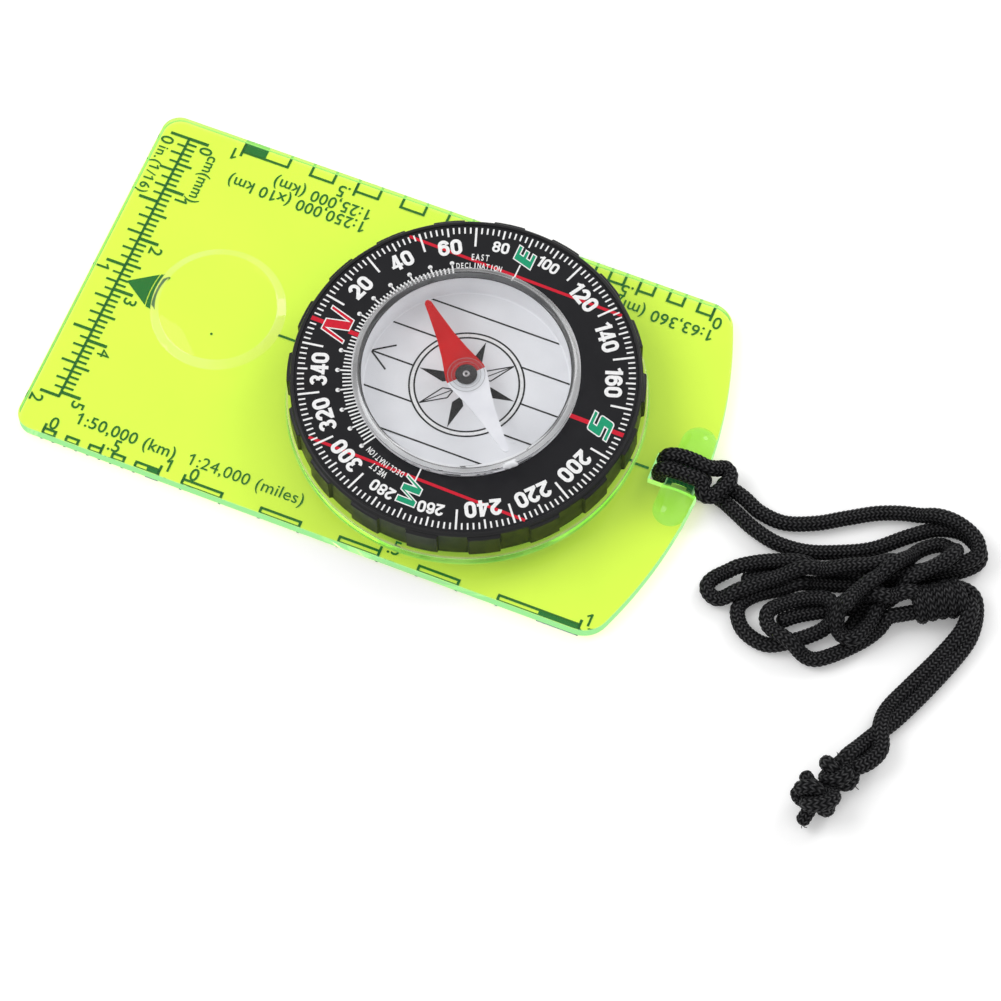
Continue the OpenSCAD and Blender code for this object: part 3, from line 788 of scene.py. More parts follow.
def print_ruler(dark):
    """Millimetres on one side of the line and sixteenths of an inch on the other."""
    y, x0, inch = 60.72, 27.83, 25.4
    mm_marks = ((10, 3.42, 0.54), (5, 2.58, 0.42), (1, 1.7, 0.37))
    inch_marks = ((8, 3.3, 0.5), (4, 2.45, 0.4), (2, 1.9, 0.37), (1, 1.45, 0.34))
    dark.line((x0 + 0.2, y), (x0 - 2 * inch - 0.2, y), PRINT_LINE)
    for count, pitch, marks, side in ((51, 1.0, mm_marks, -1), (33, inch / 16, inch_marks, 1)):
        for k in range(count):
            reach, width = next(mark[1:] for mark in marks if k % mark[0] == 0)
            dark.line((x0 - k * pitch, y), (x0 - k * pitch, y + side * reach), width)
    for count, pitch, gap, row in ((6, 10, 1.25, 57.25), (3, inch, 1.5, 64.0)):
        for k in range(count):
            dark.text(str(k), 2.1, (x0 - k * pitch - gap, row), turn=180)
    dark.text("cm(mm)", 1.9, (21.6, 55.5), turn=180, spacing=1.02, squeeze=0.97)
    dark.text("in.(1/16)", 1.7, (20.4, 63.95), turn=180, spacing=1.1)


def build_plate_print():
    """The print on the plate's underside: ruler, travel mark, index lines and map scales."""
    dark = Print(-0.030)
    fill = Print(-0.032, 0.010)
    print_ruler(dark)
    fill.shape([(0.0, 59.3)] + bowed(55.12, 0.3, 2.98))
    for top, low in (((54.92, 0.3, 3.12), (54.02, 0.45, 3.3)), ((53.6, 0.25, 2.35), (53.15, 0.75, 2.9))):
        fill.shape(bowed(*top) + bowed(*low)[::-1])
    dark.line((0.0, 33.0), (0.0, 27.0), PRINT_LINE)
    dark.line((0.0, -27.0), (0.0, -30.8), PRINT_LINE)
    dark.dot(-3.85, 42.65, 0.2)
    sides = (
        # reading direction, side, line and number columns, then scales, names and numbers
        (270, -1, -28.95, -27.65, ((60.48, 40.48), (36.39, -30.67)),
         (("1:50,000 (km)", -25.35, 47.65), ("1:24,000 (miles)", -25.3, 26.95)),
         (("0", 59.35), (".5", 48.85), ("1", 39.3), ("0", 35.05), (".5", 0.9), ("1", -31.9))),
        (90, 1, 28.85, 28.0, ((11.66, 51.66), (-30.33, -4.93)),
         (("1:25,000 (km)", 25.5, 36.35), ("1:250,000 (x10 km)", 23.1, 39.9),
          ("1:63,360 (mi)", 25.5, -23.3)),
         (("0", 10.4), (".5", 33.4), ("1", 52.95), ("0", -31.6), (".5", -16.0), ("1", -3.6))),
    )
    for turn, out, x_line, x_number, scales, names, numbers in sides:
        for y0, y1 in scales:
            scale_boxes(dark, fill, x_line, out, y0, y1)
        for words, x, y in names:
            dark.text(words, 2.0, (x, y), turn, spacing=1.05)
        for words, y in numbers:
            dark.text(words, 2.1, (x_number, y), turn)
    dark.piece("plate_print", M_GREEN_INK, "plate", "plate_acrylic")
    fill.piece("plate_print_fill", M_TEAL_INK, "plate", "plate_acrylic")


# ---------------------------------------------------------------- bezel
def build_bezel():
    seat_r, bore_r = 26.97, 17.46
    web_top, web_low, rib_low, skirt_low = 9.68, 8.3, 4.87, 4.4
    profile = [
        (18.5, 0.2), (20.14, 0.2), (20.14, 0.3), (19.4, 0.3), (19.4, 1.1), (20.14, 1.1),
        (20.14, web_low), (23.4, web_low), (23.4, rib_low), (24.6, rib_low), (24.6, web_low),
        (26.3, web_low), (26.3, skirt_low), (27.5, skirt_low), (27.66, 4.46)]
    profile += [(BEZEL_R, z) for z in (4.6, 4.66, 4.72, 4.9, 9.62, 9.82, 9.94, 10.0, 10.16)]
    profile += [
        (27.62, 10.32), (27.5, 10.45), (27.35, 10.53), (27.2, 10.55), (27.08, 10.54), (26.99, 10.46),
        (seat_r, 10.36), (seat_r, web_top), (bore_r, web_top), (bore_r, 2.9), (18.5, 2.9),
        (18.5, 1.9), (19.0, 1.9), (19.0, 1.15), (18.5, 1.15)]
    pad_height = {17: 0.7, 18: 1.0, 19: 1.0, 20: 0.86, 21: 0.5}
    half_turns = [1.6, 3.2, 4.75, 5.0, 5.25, 5.45]
    turns = [-10, -8, -6.7] + [-t for t in half_turns[::-1]] + [0] + half_turns + [6.7, 8]
    pitch = 360.0 / PADS
    angles = [PAD_PHASE + pitch * p + t for p in range(PADS) for t in turns]

    def pad(i, r, angle):
        """Raises the grip pads out of the skirt, with soft ends."""
        if i not in pad_height:
            return r
        off = abs((angle - PAD_PHASE + pitch / 2) % pitch - pitch / 2)
        height = min(max((5.45 - off) / 0.5, 0.0), 1.0)
        height = height * height * (3 - 2 * height)
        return r + (PAD_R - BEZEL_R) * pad_height[i] * height

    verts, faces, _ = lathe(profile, angles=angles, radius=pad)
    ring = make_object("bezel_moulding", verts, faces, [M_BEZEL], sharp=38)
    add_weighted_normals(ring)
    attach(ring, "bezel", "bezel_ring")


def print_degrees(white):
    """Ticks every two degrees and a number every twenty, but for the cardinal points."""
    for deg in range(0, 360, 2):
        if deg % 90 == 0:
            continue
        inner, width = (23.1, 0.34) if deg % 20 == 10 else (24.95, 0.3) if deg % 10 == 0 else (25.4, 0.26)
        white.radial(deg, inner, 26.5, width)
    for deg in range(20, 360, 20):
        if deg == 180:
            continue
        small = deg in (80, 100, 260, 280)
        height, width, stroke, r = (2.0, 1.3, 0.4, 23.45) if small else (2.8, 1.82, 0.6, 23.05)
        white.numeral(str(deg), height, width, stroke, r, deg)


def print_declination(white):
    """Ticks to 60 degrees each way, with a dot every ten, and the words beside them."""
    for deg in range(-60, 61, 2):
        if deg == 0:
            continue
        if deg % 10 == 0:
            white.radial(deg, 17.5, 20.1, 0.26)
            white.dot(*polar(20.2, deg), 0.36)
        else:
            white.radial(deg, 17.5, 19.4, 0.25)
    for start, words in ((72.4, "EAST"), (286.6, "WEST")):
        for line, r, pitch, tall in ((words, 21.2, 2.05, 1.08), ("DECLINATION", 19.65, 1.95, 0.94)):
            for k, letter in enumerate(line):
                bearing = start + (k - (len(line) - 1) / 2) * pitch
                squeeze = 0.8 if letter == "I" else 0.6
                white.text(letter, tall, polar(r, bearing), -bearing, squeeze=squeeze, bold=0.025)


def build_dial_print():
    white = Print(DIAL_Z + 0.018)
    red = Print(DIAL_Z + 0.003)
    red_top = Print(DIAL_Z + 0.034)
    green = Print(DIAL_Z + 0.034)
    print_degrees(white)
    print_declination(white)
    for r0, r1, deg in ((24.5, 26.6, 0), (17.5, 20.15, 0), (24.6, 26.6, 180), (17.5, 20.8, 180)):
        red.radial(deg, r0, r1, 0.75)
    chord, rim_r = 19.32, 26.6
    reach = math.sqrt(rim_r ** 2 - chord ** 2)
    for x in (chord, -chord):
        red.line((x, reach), (x, -reach), 0.5)
    for deg in (90, 270):
        white.radial(deg, 17.5, 21.4, 0.24)
        white.radial(deg, 24.8, 26.5, 0.26)
    border = 0.19
    for letter, layer, x, y in (("N", red_top, 0.44, 22.28), ("E", green, 22.95, -0.14),
                                ("S", green, 0.1, -22.72), ("W", green, -21.54, -0.07)):
        outline = letter_outline(letter)
        white.shape([(px + x, py + y) for px, py in outline], 0.006)
        layer.shape([(px + x, py + y) for px, py in shrink(outline, border)])
    for layer, name, mat in ((white, "dial_print_white", M_WHITE_INK), (red, "dial_lines_red", M_RED_INK),
                             (red_top, "dial_letter_red", M_RED_INK),
                             (green, "dial_letters_green", M_LETTER_GREEN)):
        layer.piece(name, mat, "bezel", "dial_plastic", DIAL_TURN)


# ---------------------------------------------------------------- capsule
def build_capsule():
    edge, top, r, inner_r = 12.85, 13.3, WINDOW_R, 16.38
    window = [(0.0, top), (8.0, top), (r - 1.0, top), (r - 0.82, top - 0.03), (r - 0.12, edge + 0.06),
              (r, edge - 0.12), (r, SEAM_Z + 0.12), (r - 0.1, SEAM_Z + 0.02), (CAPSULE_R, SEAM_Z + 0.02),
              (inner_r, SEAM_Z + 0.02), (inner_r, SEAM_Z - 0.5), (0.0, SEAM_Z - 0.5)]
    cup = [(0.0, 2.0), (18.4, 2.0), (18.4, 2.85), (CAPSULE_R, 2.85), (CAPSULE_R, SEAM_Z), (16.4, SEAM_Z),
           (16.4, FLOOR_Z + 0.3), (16.3, FLOOR_Z + 0.1), (16.1, FLOOR_Z), (1.7, FLOOR_Z),
           (1.5, FLOOR_Z + 0.1), (0.8, FLOOR_Z + 1.6), (0.42, FLOOR_Z + 1.6), (0.4, 2.6), (0.0, 2.6)]
    # the material of each band of the profile: 0 outside, 1 against the liquid, then the special ones
    window_mats = [M_CAPSULE, M_INNER, M_BEVEL]
    window_slots = [0, 0, 2, 2, 2, 0, 0, 0, 1, 1, 1, 0]
    # slots 2 and 3 carry the painted light of the floor and wall films
    cup_mats = [M_CAPSULE, M_INNER, M_MILKY, M_WALL_PAINTED_LIGHT]
    cup_slots = [0, 0, 0, 0, 1, 3, 3, 3, 2, 1, 1, 1, 1, 1, 1]
    for name, node, profile, mats, slots in (
            ("capsule_window_clear", "capsule_window", window, window_mats, window_slots),
            ("capsule_cup_clear", "capsule_cup", cup, cup_mats, cup_slots)):
        verts, faces, owner = lathe(profile, 200)
        shell = make_object(name, verts, faces, mats, face_slots=[slots[i] for i in owner])
        add_weighted_normals(shell)
        attach(shell, "capsule", node)


def build_seal():
    """The resin blob that closes the capsule's filling hole, on the outside of the window's rim."""
    profile = [(math.sin(math.radians(a)), -math.cos(math.radians(a))) for a in range(0, 181, 15)]
    out = Vector((*polar(1.0, 225.5), 0))
    along = Vector((out.y, -out.x, 0))
    verts, faces, _ = lathe(profile, 28)
    placed = []
    for x, y, z in verts:
        lump = 1 + 0.2 * math.sin(3.1 * x + 1) * math.cos(4.3 * y) + 0.1 * math.sin(7 * x)
        at = out * (17.95 + 0.6 * y * lump) + along * (1.3 * x * lump)
        placed.append((at.x, at.y, 12.7 + 0.75 * z))
    attach(make_object("filling_seal", placed, faces, [M_SEAL], sharp=60), "capsule")


def build_seam():
    """The dark hairline where the window is bonded to the cup."""
    seam = Print(SEAM_Z + 0.004)
    seam.circle_line(16.52, 0.15, 160)
    seam.piece("capsule_seam", M_SEAM, "capsule", "capsule_clear")


def build_floor_print():
    """The orienting lines and arrow, and the ringed star, on the capsule's floor."""
    halo = Print(FLOOR_Z + 0.006)
    halo.circle_line(8.66, 0.62)
    halo.piece("capsule_floor_halo", M_WHITE_INK, "capsule", "capsule_clear")
    p = Print(FLOOR_Z + 0.022)
    width, floor_r, ring_r = 0.28, 16.3, 9.07
    for x in (-12.0, -6.0, 6.0, 12.0):
        reach = math.sqrt(floor_r ** 2 - x * x)
        if abs(x) > ring_r:
            p.line((x, -reach), (x, reach), width)
            continue
        gap = math.sqrt(ring_r ** 2 - x * x)
        for s in (1, -1):
            p.line((x, s * gap), (x, s * reach), width)
    for s in (1, -1):
        p.line((0, s * ring_r), (0, s * 16.2), width)
    for s in (1, -1):
        p.line((0, 16.3), (s * 2.3, 12.9), width)
    for r in (ring_r, 8.26):
        p.circle_line(r, width)
    for k in range(8):
        out = Vector(polar(1.0, 45 * k))
        side = Vector((out.y, -out.x))
        tip, root = out * 8.05, out * 2.2
        for s in (1, -1):
            wing = out * 3.7 + side * (0.95 * s)
            if k % 2 == 0:
                p.shape([tuple(v) for v in ((tip, wing, root) if s > 0 else (tip, root, wing))])
            else:
                p.line(tip, wing, 0.2)
                p.line(wing, root, 0.2)
        if k % 2 == 1:
            p.line(tip, root, 0.16)
    p.piece("capsule_floor_print", M_BLACK_INK, "capsule", "capsule_clear")


def top_of(name):
    """Height of one of the frame's nodes, in millimetres."""
    node = bpy.data.objects[name]
    return max((node.matrix_world @ Vector(corner)).z for corner in node.bound_box) / MM


def build_hub_detail():
    """A pale metal ring on the cap, put there as a painted highlight for the cap's bright ring, and the
    moulded steps of its clear disc.
    """
    z = top_of("hub_cap")
    ring = [(0.24, z - 0.03), (0.54, z - 0.03), (0.54, z + 0.02), (0.48, z + 0.05), (0.3, z + 0.05),
            (0.24, z + 0.02)]
    attach(make_object("bearing_highlight_ring", *lathe(ring, 40)[:2], [M_RING_HIGHLIGHT]), "needle")
    steps = Print(top_of("hub_disc") + 0.003)
    steps.circle_line(2.3, 0.06, 60)
    steps.circle_line(2.93, 0.07, 60)
    steps.piece("disc_steps", M_DISC_EDGE, "needle", "hub_clear")


# ---------------------------------------------------------------- cord
def run_lengths(path):
    """Distance along a path at each of its points."""
    return np.concatenate([[0], np.cumsum(np.linalg.norm(np.diff(path, axis=0), axis=1))])


def smooth_path(points, step=0.14):
    """Catmull-Rom through the points, resampled to even steps."""
    p = [np.array(q, float) for q in points]
    dense = []
    for i in range(len(p) - 1):
        a, b, c, d = p[max(i - 1, 0)], p[i], p[i + 1], p[min(i + 2, len(p) - 1)]
        for k in range(24):
            t = k / 24
            dense.append(b + (c - a) * t / 2 + (2 * a - 5 * b + 4 * c - d) * t * t / 2
                         + (3 * b - a - 3 * c + d) * t ** 3 / 2)
    dense = np.array(dense + [p[-1]])
    s = run_lengths(dense)
    at = np.linspace(0, s[-1], max(int(s[-1] / step), 8) + 1)
    return np.stack([np.interp(at, s, dense[:, k]) for k in range(3)], axis=1)


def weave(u, v):
    """Height of a braid whose two families of carriers go over two and under two."""
    iu, iv = np.round(u), np.round(v)
    ridge_u = np.sqrt(np.clip(1 - (2 * (u - iu)) ** 2, 0, 1))
    ridge_v = np.sqrt(np.clip(1 - (2 * (v - iv)) ** 2, 0, 1))
    over_u = 0.62 + 0.38 * np.cos(np.pi / 2 * (v + iu))
    over_v = 0.62 - 0.38 * np.cos(np.pi / 2 * (u + iv))
    return np.maximum(ridge_u * over_u, ridge_v * over_v)


def cord_mesh(path, r=CORD_R, carriers=14, sides=70, relief=0.3, flatten=None):
    """A braided round cord along a path, closed with rounded ends."""
    cell = 0.72
    n = len(path)
    tangent = np.gradient(path, axis=0)
    tangent /= np.linalg.norm(tangent, axis=1)[:, None]
    normal = np.zeros_like(path)
    first = np.cross(tangent[0], (0, 0, 1.0))
    if np.linalg.norm(first) < 1e-3:
        first = np.cross(tangent[0], (1.0, 0, 0))
    normal[0] = first / np.linalg.norm(first)
    for i in range(1, n):
        v = normal[i - 1] - tangent[i] * np.dot(normal[i - 1], tangent[i])
        normal[i] = v / np.linalg.norm(v)
    binormal = np.cross(tangent, normal)
    s = run_lengths(path)
    theta = 2 * np.pi * np.arange(sides) / sides
    around = carriers * theta[None, :] / (2 * np.pi)
    along = s[:, None] / cell
    height = weave(around + along, around - along)
    from_end = np.clip(np.minimum(s, s[-1] - s) / (0.8 * r), 0, 1)
    cap = np.sqrt(np.clip(1 - (1 - from_end) ** 2, 0.02, 1))
    radius = (r + relief * (height - 1.0)) * cap[:, None]
    ring = (np.cos(theta)[None, :, None] * normal[:, None, :]
            + np.sin(theta)[None, :, None] * binormal[:, None, :])
    points = path[:, None, :] + radius[..., None] * ring
    if flatten is not None:
        points = flatten(points)
    faces = [(i * sides + j, i * sides + (j + 1) % sides, (i + 1) * sides + (j + 1) % sides,
              (i + 1) * sides + j) for i in range(n - 1) for j in range(sides)]
    faces.append(tuple(range(sides))[::-1])
    faces.append(tuple((n - 1) * sides + j for j in range(sides)))
    return [tuple(p) for p in points.reshape(-1, 3)], faces, height.ravel()


def cord_piece(name, node, meshes):
    """One object from several cords, with the braid's height kept for the material."""
    verts, faces, rise = [], [], []
    for v, f, height in meshes:
        base = len(verts)
        verts += v
        faces += [tuple(base + i for i in face) for face in f]
        rise.append(height)
    made = make_object(name, verts, faces, [M_CORD], sharp=70)
    layer = made.data.attributes.new("rise", "FLOAT", "POINT")
    layer.data.foreach_set("value", np.concatenate(rise))
    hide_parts(node)
    return made


class Pile:
    """Lays strands on the table one after the other, each one over those below it."""

    def __init__(self, r):
        self.spacing, self.below = 1.72 * r, np.zeros((0, 3))

    def lay(self, path):
        own_gap, slope, firmness = 5.0, 2.6, 0.35
        path = path.copy()
        floor = path[:, 2].copy()
        step = np.linalg.norm(path[1] - path[0])
        skip = int(own_gap / step)
        for i in range(len(path)):
            near = self.below
            if i > skip:
                near = np.concatenate([near, path[: i - skip]]) if len(near) else path[: i - skip]
            if len(near):
                d2 = ((near[:, :2] - path[i, :2]) ** 2).sum(axis=1)
                close = d2 < self.spacing ** 2
                if close.any():
                    need = near[close, 2] + np.sqrt(self.spacing ** 2 - d2[close])
                    floor[i] = max(floor[i], need.max())
            path[i, 2] = floor[i]
        span = int(slope / step)
        kernel = np.hanning(2 * span + 1)
        soft = np.convolve(np.pad(floor, span, mode="edge"), kernel / kernel.sum(), mode="valid")
        path[:, 2] = np.maximum(soft, floor * firmness + soft * (1 - firmness))
        self.below = np.concatenate([self.below, path])
        return path


def flat(points):
    return [(x, y, TABLE_Z) for x, y in points]


KNOT_FROM = np.array([-7.6, -77.6])
KNOT_DIR = np.array([0.535, -0.845])
KNOT_SIDE = np.array([0.845, 0.535])
KNOT_Z = 3.2
KNOT_STRAND = 1.2


def in_knot(along, side, z=KNOT_Z):
    x, y = KNOT_FROM + KNOT_DIR * along + KNOT_SIDE * side
    return (x, y, z)


def build_hitch():
    """The cow hitch round the bar and the small turn that locks it."""
    def wrap(low, top):
        return [(low, -40.9, 0.95), (low, -38.4, 0.72), (low, -35.4, 0.72), (low, -33.55, 1.45),
                (low, -32.95, 3.0), ((low + top) / 2, -33.6, 4.7), (top, -35.5, 5.35),
                (top, -37.9, 5.35), (top, -39.9, 4.85)]

    def clear_of_plate(points):
        """Presses the cord flat where it passes under the bar."""
        pressed_below, depth, table = 1.4, 0.65, 0.05
        z = points[..., 2]
        low = z < pressed_below
        z[low] = table + (z[low] + depth) * ((pressed_below - table) / (pressed_below + depth))
        z[z < 0.04] = 0.04
        return points

    path = wrap(1.2, 1.75) + [(2.5, -41.3, 4.0), (3.2, -42.3, 3.5), (2.5, -43.4, 3.3), (0.9, -43.6, 3.6)]
    path += [(-0.8, -42.9, 3.7), (-2.2, -41.9, 3.7), (-2.4, -40.7, 4.2)] + wrap(-1.1, -0.95)[::-1]
    turn = cord_mesh(smooth_path(path), r=1.32, flatten=clear_of_plate)
    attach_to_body(cord_piece("hitch_cord", "lanyard_hitch", [turn]), "plate")


def build_coil():
    """The doubled cord from the hitch to the knot, with short strands that fill the pile."""
    filler = flat([(-17.6, -58.8), (-15.4, -61.1), (-13.4, -64.2), (-11.4, -67.8), (-9.6, -71.4)])
    packing = flat([(-13, -51.2), (-11.4, -53.4), (-10, -55.8), (-8.6, -58.8)])
    top_run = flat([(-14.4, -68), (-10.8, -68.8), (-6.8, -71), (-3.2, -73.1), (0.2, -74.9)])
    tucked = flat([(-16.6, -69.2), (-12.9, -69.9), (-9.4, -70.5), (-6.6, -70.9)])
    under = [(-0.9, -41.6, TABLE_Z), (-1.2, -43.6, TABLE_Z)] + flat([
        (-2.6, -46.8), (-3.9, -49.8), (-4.9, -54), (-4.6, -58.6), (-3, -63.1), (-0.4, -68.1),
        (3.7, -72.6), (6.5, -76.3), (7.4, -80.2), (5.9, -83.4), (3.7, -84.2), (1.4, -82.4),
        (-0.8, -79.2), (-3.2, -75.2), (-5, -72), (-7, -68), (-8, -65.6), (-9.5, -61.4),
        (-11.9, -57.6), (-14.7, -53.8), (-17.6, -52.4), (-20.6, -54.4), (-21.6, -58.4), (-19.6, -62),
        (-16.2, -65.6), (-13.2, -66.8), (-11.8, -64.2), (-13.6, -60.2), (-16.6, -57.2), (-19.2, -58),
        (-20.6, -61.9), (-21.3, -65.6), (-19.8, -68.2), (-16, -71.7), (-13, -73.6)])
    under += [in_knot(-4.4, -KNOT_STRAND, 2.9), in_knot(-2, -KNOT_STRAND), in_knot(0.5, -KNOT_STRAND)]
    over = [(1.5, -41.6, TABLE_Z), (1.35, -43.6, TABLE_Z)] + flat([
        (0.5, -46.6), (-0.9, -49.8), (-1.2, -54), (0.6, -58.6), (3.2, -62.7), (6, -67.4),
        (7.7, -72.6), (7.9, -78.2), (6.4, -82.4), (3.9, -83.8), (1.6, -82.2), (-0.4, -79.2),
        (-2.8, -75.4), (-4.6, -72.2), (-5.7, -68.6), (-6.2, -64), (-7.4, -58.5), (-9.8, -52.6),
        (-13, -48), (-15.8, -46.6), (-17.2, -48.8), (-14.8, -52.3), (-11.8, -55.8), (-8.6, -60.1),
        (-6.6, -65.1), (-4.6, -69.8), (-1, -73), (2.5, -75.4), (4.3, -78.2), (2.9, -80.6),
        (-0.4, -79.4), (-5.2, -75.2), (-9.4, -72.8), (-13.6, -72.1), (-16.8, -70.5), (-15.7, -67.8),
        (-12.2, -67.5), (-9.6, -69.4)])
    over += [(-9.2, -71.4, KNOT_Z), in_knot(-4.4, KNOT_STRAND), in_knot(-2, KNOT_STRAND),
             in_knot(0.5, KNOT_STRAND)]
    pile = Pile(CORD_R)
    strands = [pile.lay(smooth_path(p)) for p in (filler, packing, under, over, top_run)]
    strands.append(smooth_path(tucked))
    coil = cord_piece("lanyard_strands", "lanyard_cord", [cord_mesh(p, r=COIL_R) for p in strands])
    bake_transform(coil)


def build_tails():
    """The two strands from the knot to the stopper knots."""
    near = [in_knot(0.5, KNOT_STRAND), in_knot(4, KNOT_STRAND), in_knot(7.4, KNOT_STRAND)]
    near += [(-2.7, -85.4, 2.4), (-4.9, -86.7, 1.5)]
    near += flat([(-8.9, -87.1), (-13.2, -86.1), (-19.7, -83.8), (-25.8, -81.2)])
    near += [(-29.4, -79.3, 1.8), (-32.6, -77.8, 2.6), (-35.2, -76.6, 3.4), (-37.2, -76.2, 3.4)]
    far = [in_knot(0.5, -KNOT_STRAND), in_knot(4, -KNOT_STRAND), in_knot(7.6, -KNOT_STRAND)]
    far += [(-4.9, -85.7, 3.5), (-6.8, -86, 3.6), (-9.4, -85.7, 2.7), (-14, -83.9, 1.45)]
    far += [(-20, -81.4, TABLE_Z), (-24.6, -79.6, TABLE_Z), (-28.4, -79.6, 2.6), (-31.8, -80.8, 2.9)]
    far += [(-34.6, -79.8, 3.0), (-36.6, -77.8, 3.2)]
    meshes = [cord_mesh(smooth_path(p)) for p in (near, far)]
    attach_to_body(cord_piece("lanyard_tail_strands", "lanyard_tails", meshes), "lanyard")


def build_slide_knot():
    """A barrel knot: the cord's own turns over two straight strands."""
    turns, pitch, mean_r, length, steps = 5, 1.62, 2.0, 8.0, 16
    axis = np.array([*KNOT_DIR, 0.0])
    side = np.array([*KNOT_SIDE, 0.0])
    up = np.array([0.0, 0.0, 1.0])
    start = np.array([*KNOT_FROM, KNOT_Z])
    path = []
    for k in range(turns * steps + 1):
        a = 2 * math.pi * k / steps
        swell = 1 + 0.05 * math.sin(2.3 * a)
        off = (length - turns * pitch) / 2 + pitch * k / steps
        path.append(start + axis * off + mean_r * swell * (math.cos(a) * side + math.sin(a) * up))
    turn = cord_mesh(smooth_path(path), r=1.12)
    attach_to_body(cord_piece("slide_knot_turns", "slide_knot", [turn]), "knot")


def overhand(centre, size, turn):
    """A trefoil path, turned about its centre."""
    spin = (Matrix.Rotation(turn[2], 3, "Z") @ Matrix.Rotation(turn[0], 3, "X")
            @ Matrix.Rotation(turn[1], 3, "Y"))
    path = []
    for k in range(61):
        t = 2 * math.pi * k / 60
        ring = 2 + math.cos(3 * t)
        p = spin @ (Vector((ring * math.cos(2 * t), ring * math.sin(2 * t), 1.3 * math.sin(3 * t))) * size)
        path.append(tuple(c + q for c, q in zip(centre, p)))
    return path


def jitter(reach):
    return np.array([random.uniform(-reach, reach) for _ in range(3)])


def frayed(tip, way, hairs, shortest, longest):
    """Loose single threads round a cord's end."""
    way = way / np.linalg.norm(way)
    threads = []
    for _ in range(hairs):
        aim = way + jitter(0.7)
        aim /= np.linalg.norm(aim)
        reach = random.uniform(shortest, longest)
        root = np.array(tip) + jitter(0.6) - way * 0.5
        ends = (root, root + aim * reach * 0.6, root + aim * reach + jitter(0.3))
        hair = [np.maximum(p, (-99, -99, 0.12)) for p in ends]
        threads.append(cord_mesh(smooth_path(hair, 0.12), r=0.07, carriers=2, sides=5, relief=0.0))
    return threads


def build_stopper_knots():
    """Two overhand knots with short frayed ends."""
    meshes = [cord_mesh(smooth_path(overhand(*spot)), r=1.25) for spot in (
        ((-38.0, -76.2, 3.3), 0.76, (0.5, 0.3, 0.9)), ((-43.2, -74.6, 3.9), 0.96, (1.1, -0.4, 2.0)))]
    stubs = ([(-42.6, -74.0, 4.4), (-41.4, -72.6, 4.6), (-40.3, -71.5, 4.2)],
             [(-44.0, -74.4, 2.8), (-46.0, -74.0, 2.2), (-47.4, -73.6, 1.7)],
             [(-42.6, -75.4, 2.6), (-41.9, -76.8, 2.2), (-41.5, -77.8, 1.8)],
             [(-38.0, -77.2, 2.6), (-38.6, -78.6, 2.1), (-38.7, -79.3, 1.9)])
    meshes += [cord_mesh(smooth_path(stub), r=1.15) for stub in stubs]
    for stub in stubs:
        meshes += frayed(stub[-1], np.subtract(stub[-1], stub[-2]), 2, 0.5, 1.0)
    meshes += frayed((-36.3, -76.0, 4.9), np.array((0.8, 0.3, 0.45)), 7, 0.9, 1.9)
    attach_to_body(cord_piece("stopper_knot_cords", "stopper_knots", meshes), "lanyard")


# ---------------------------------------------------------------- carried-over nodes
def dress_nodes():
    """Finishes for the frame's own parts that stay in view."""
    looks = {
        "drag_ring": M_RUBBER, "dial_plate": M_DIAL, "needle_blade": M_NEEDLE,
        "bezel_retainer": metal("retainer_steel", rgb(0.62, 0.62, 0.62), 0.3),
        "capsule_retainer": metal("circlip_steel", rgb(0.55, 0.55, 0.56), 0.35),
        "fill_plug": plastic("plug_grey", rgb(0.5, 0.52, 0.55), rgb(0.44, 0.46, 0.5), 0.4, 0.3),
        "pivot_pin": metal("pin_steel_bright", rgb(0.7, 0.7, 0.72), 0.15),
        "hub_disc": inner_face("hub_disc_clear", 0.02),
        "hub_cap": plastic("hub_cap_black", rgb(0.012, 0.011, 0.011), rgb(0.02, 0.018, 0.018), 0.2, 0.6),
        "hub_collar": metal("collar_brass", rgb(0.72, 0.52, 0.22), 0.25),
        "jewel_cup": plastic("jewel_ruby", rgb(0.5, 0.02, 0.06), rgb(0.4, 0.01, 0.04), 0.08, 0.6),
    }
    for name, mat in looks.items():
        node = bpy.data.objects[name]
        for slot in node.material_slots:
            slot.material = mat
        if not node.material_slots:
            node.data.materials.append(mat)


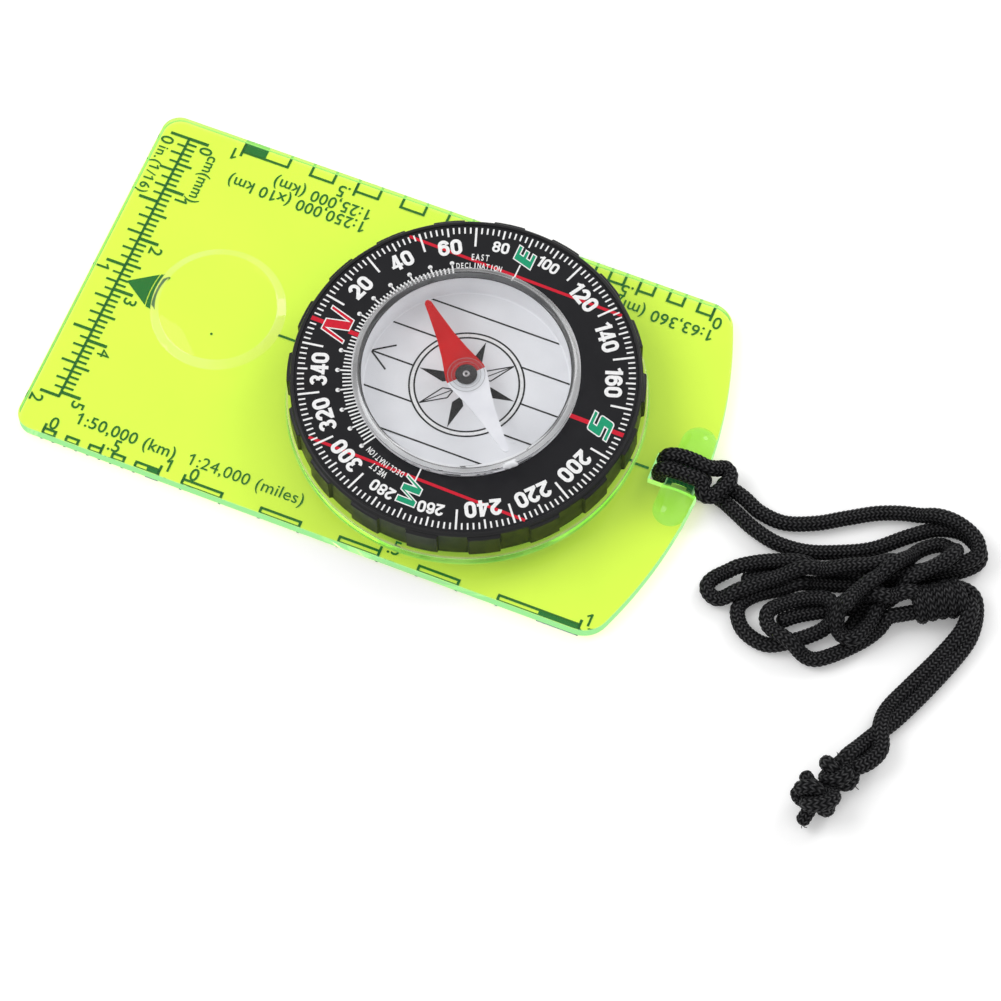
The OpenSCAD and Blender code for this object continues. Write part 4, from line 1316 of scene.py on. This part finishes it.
# ---------------------------------------------------------------- stage, light and camera
def build_stage():
    size, floor_z = 3.0, -0.00012
    corners = [(x * size, y * size, floor_z) for x, y in ((-1, -1), (1, -1), (1, 1), (-1, 1))]
    mesh = bpy.data.meshes.new("floor")
    mesh.from_pydata(corners, [], [(0, 1, 2, 3)])
    s = Shader("floor_white")
    tone = s.mix_color(s.noise(14), rgb(0.93, 0.93, 0.93), rgb(0.92, 0.92, 0.92))
    paper = s.out("BsdfDiffuse", {"Color": tone})
    seen = s.math("MULTIPLY", s.node("LightPath").outputs["Is Camera Ray"], 0.16)
    mesh.materials.append(s.done(s.out("AddShader", {0: paper, 1: s.emission(rgb(1, 1, 1), seen)})))
    link("floor", mesh)


def add_area(name, at, target, size, power):
    light = bpy.data.lights.new(name, "AREA")
    light.shape = "DISK"
    light.size = size
    light.energy = power
    lamp = link(name, light)
    lamp.location = at
    lamp.rotation_euler = (Vector(target) - Vector(at)).to_track_quat("-Z", "Y").to_euler()


def build_lights():
    world = bpy.data.worlds.new("studio")
    world.use_nodes = True
    back = world.node_tree.nodes["Background"]
    back.inputs["Color"].default_value = rgb(1.0, 1.0, 1.0)
    back.inputs["Strength"].default_value = 0.78
    bpy.context.scene.world = world
    add_area("key", (-0.1, 0.45, 0.62), (0, 0, 0), 0.5, 1.85)
    add_area("rim", (0.5, -0.25, 0.45), (0, -0.02, 0), 0.3, 0.95)
    bpy.context.scene.view_settings.view_transform = "Standard"


def build_camera():
    right = Vector((0.37785, -0.92578, -0.01311))
    up = Vector((0.8388, 0.33628, 0.42818))
    forward = Vector((0.39199, 0.17278, -0.9036))
    place = Vector((-0.26148, -0.12044, 0.57167))
    data = bpy.data.cameras.new("camera")
    data.lens = 145.08
    data.sensor_width = 36.0
    data.clip_start = 0.01
    camera = link("camera", data)
    camera.matrix_world = Matrix.Translation(place) @ Matrix((right, up, -forward)).transposed().to_4x4()
    bpy.context.scene.camera = camera


for build in (build_plate, build_plate_print, build_bezel, build_dial_print, build_capsule, build_seal,
              build_seam, build_hub_detail, build_floor_print, build_hitch, build_coil, build_tails,
              build_slide_knot, build_stopper_knots, dress_nodes, build_stage, build_lights, build_camera):
    build()
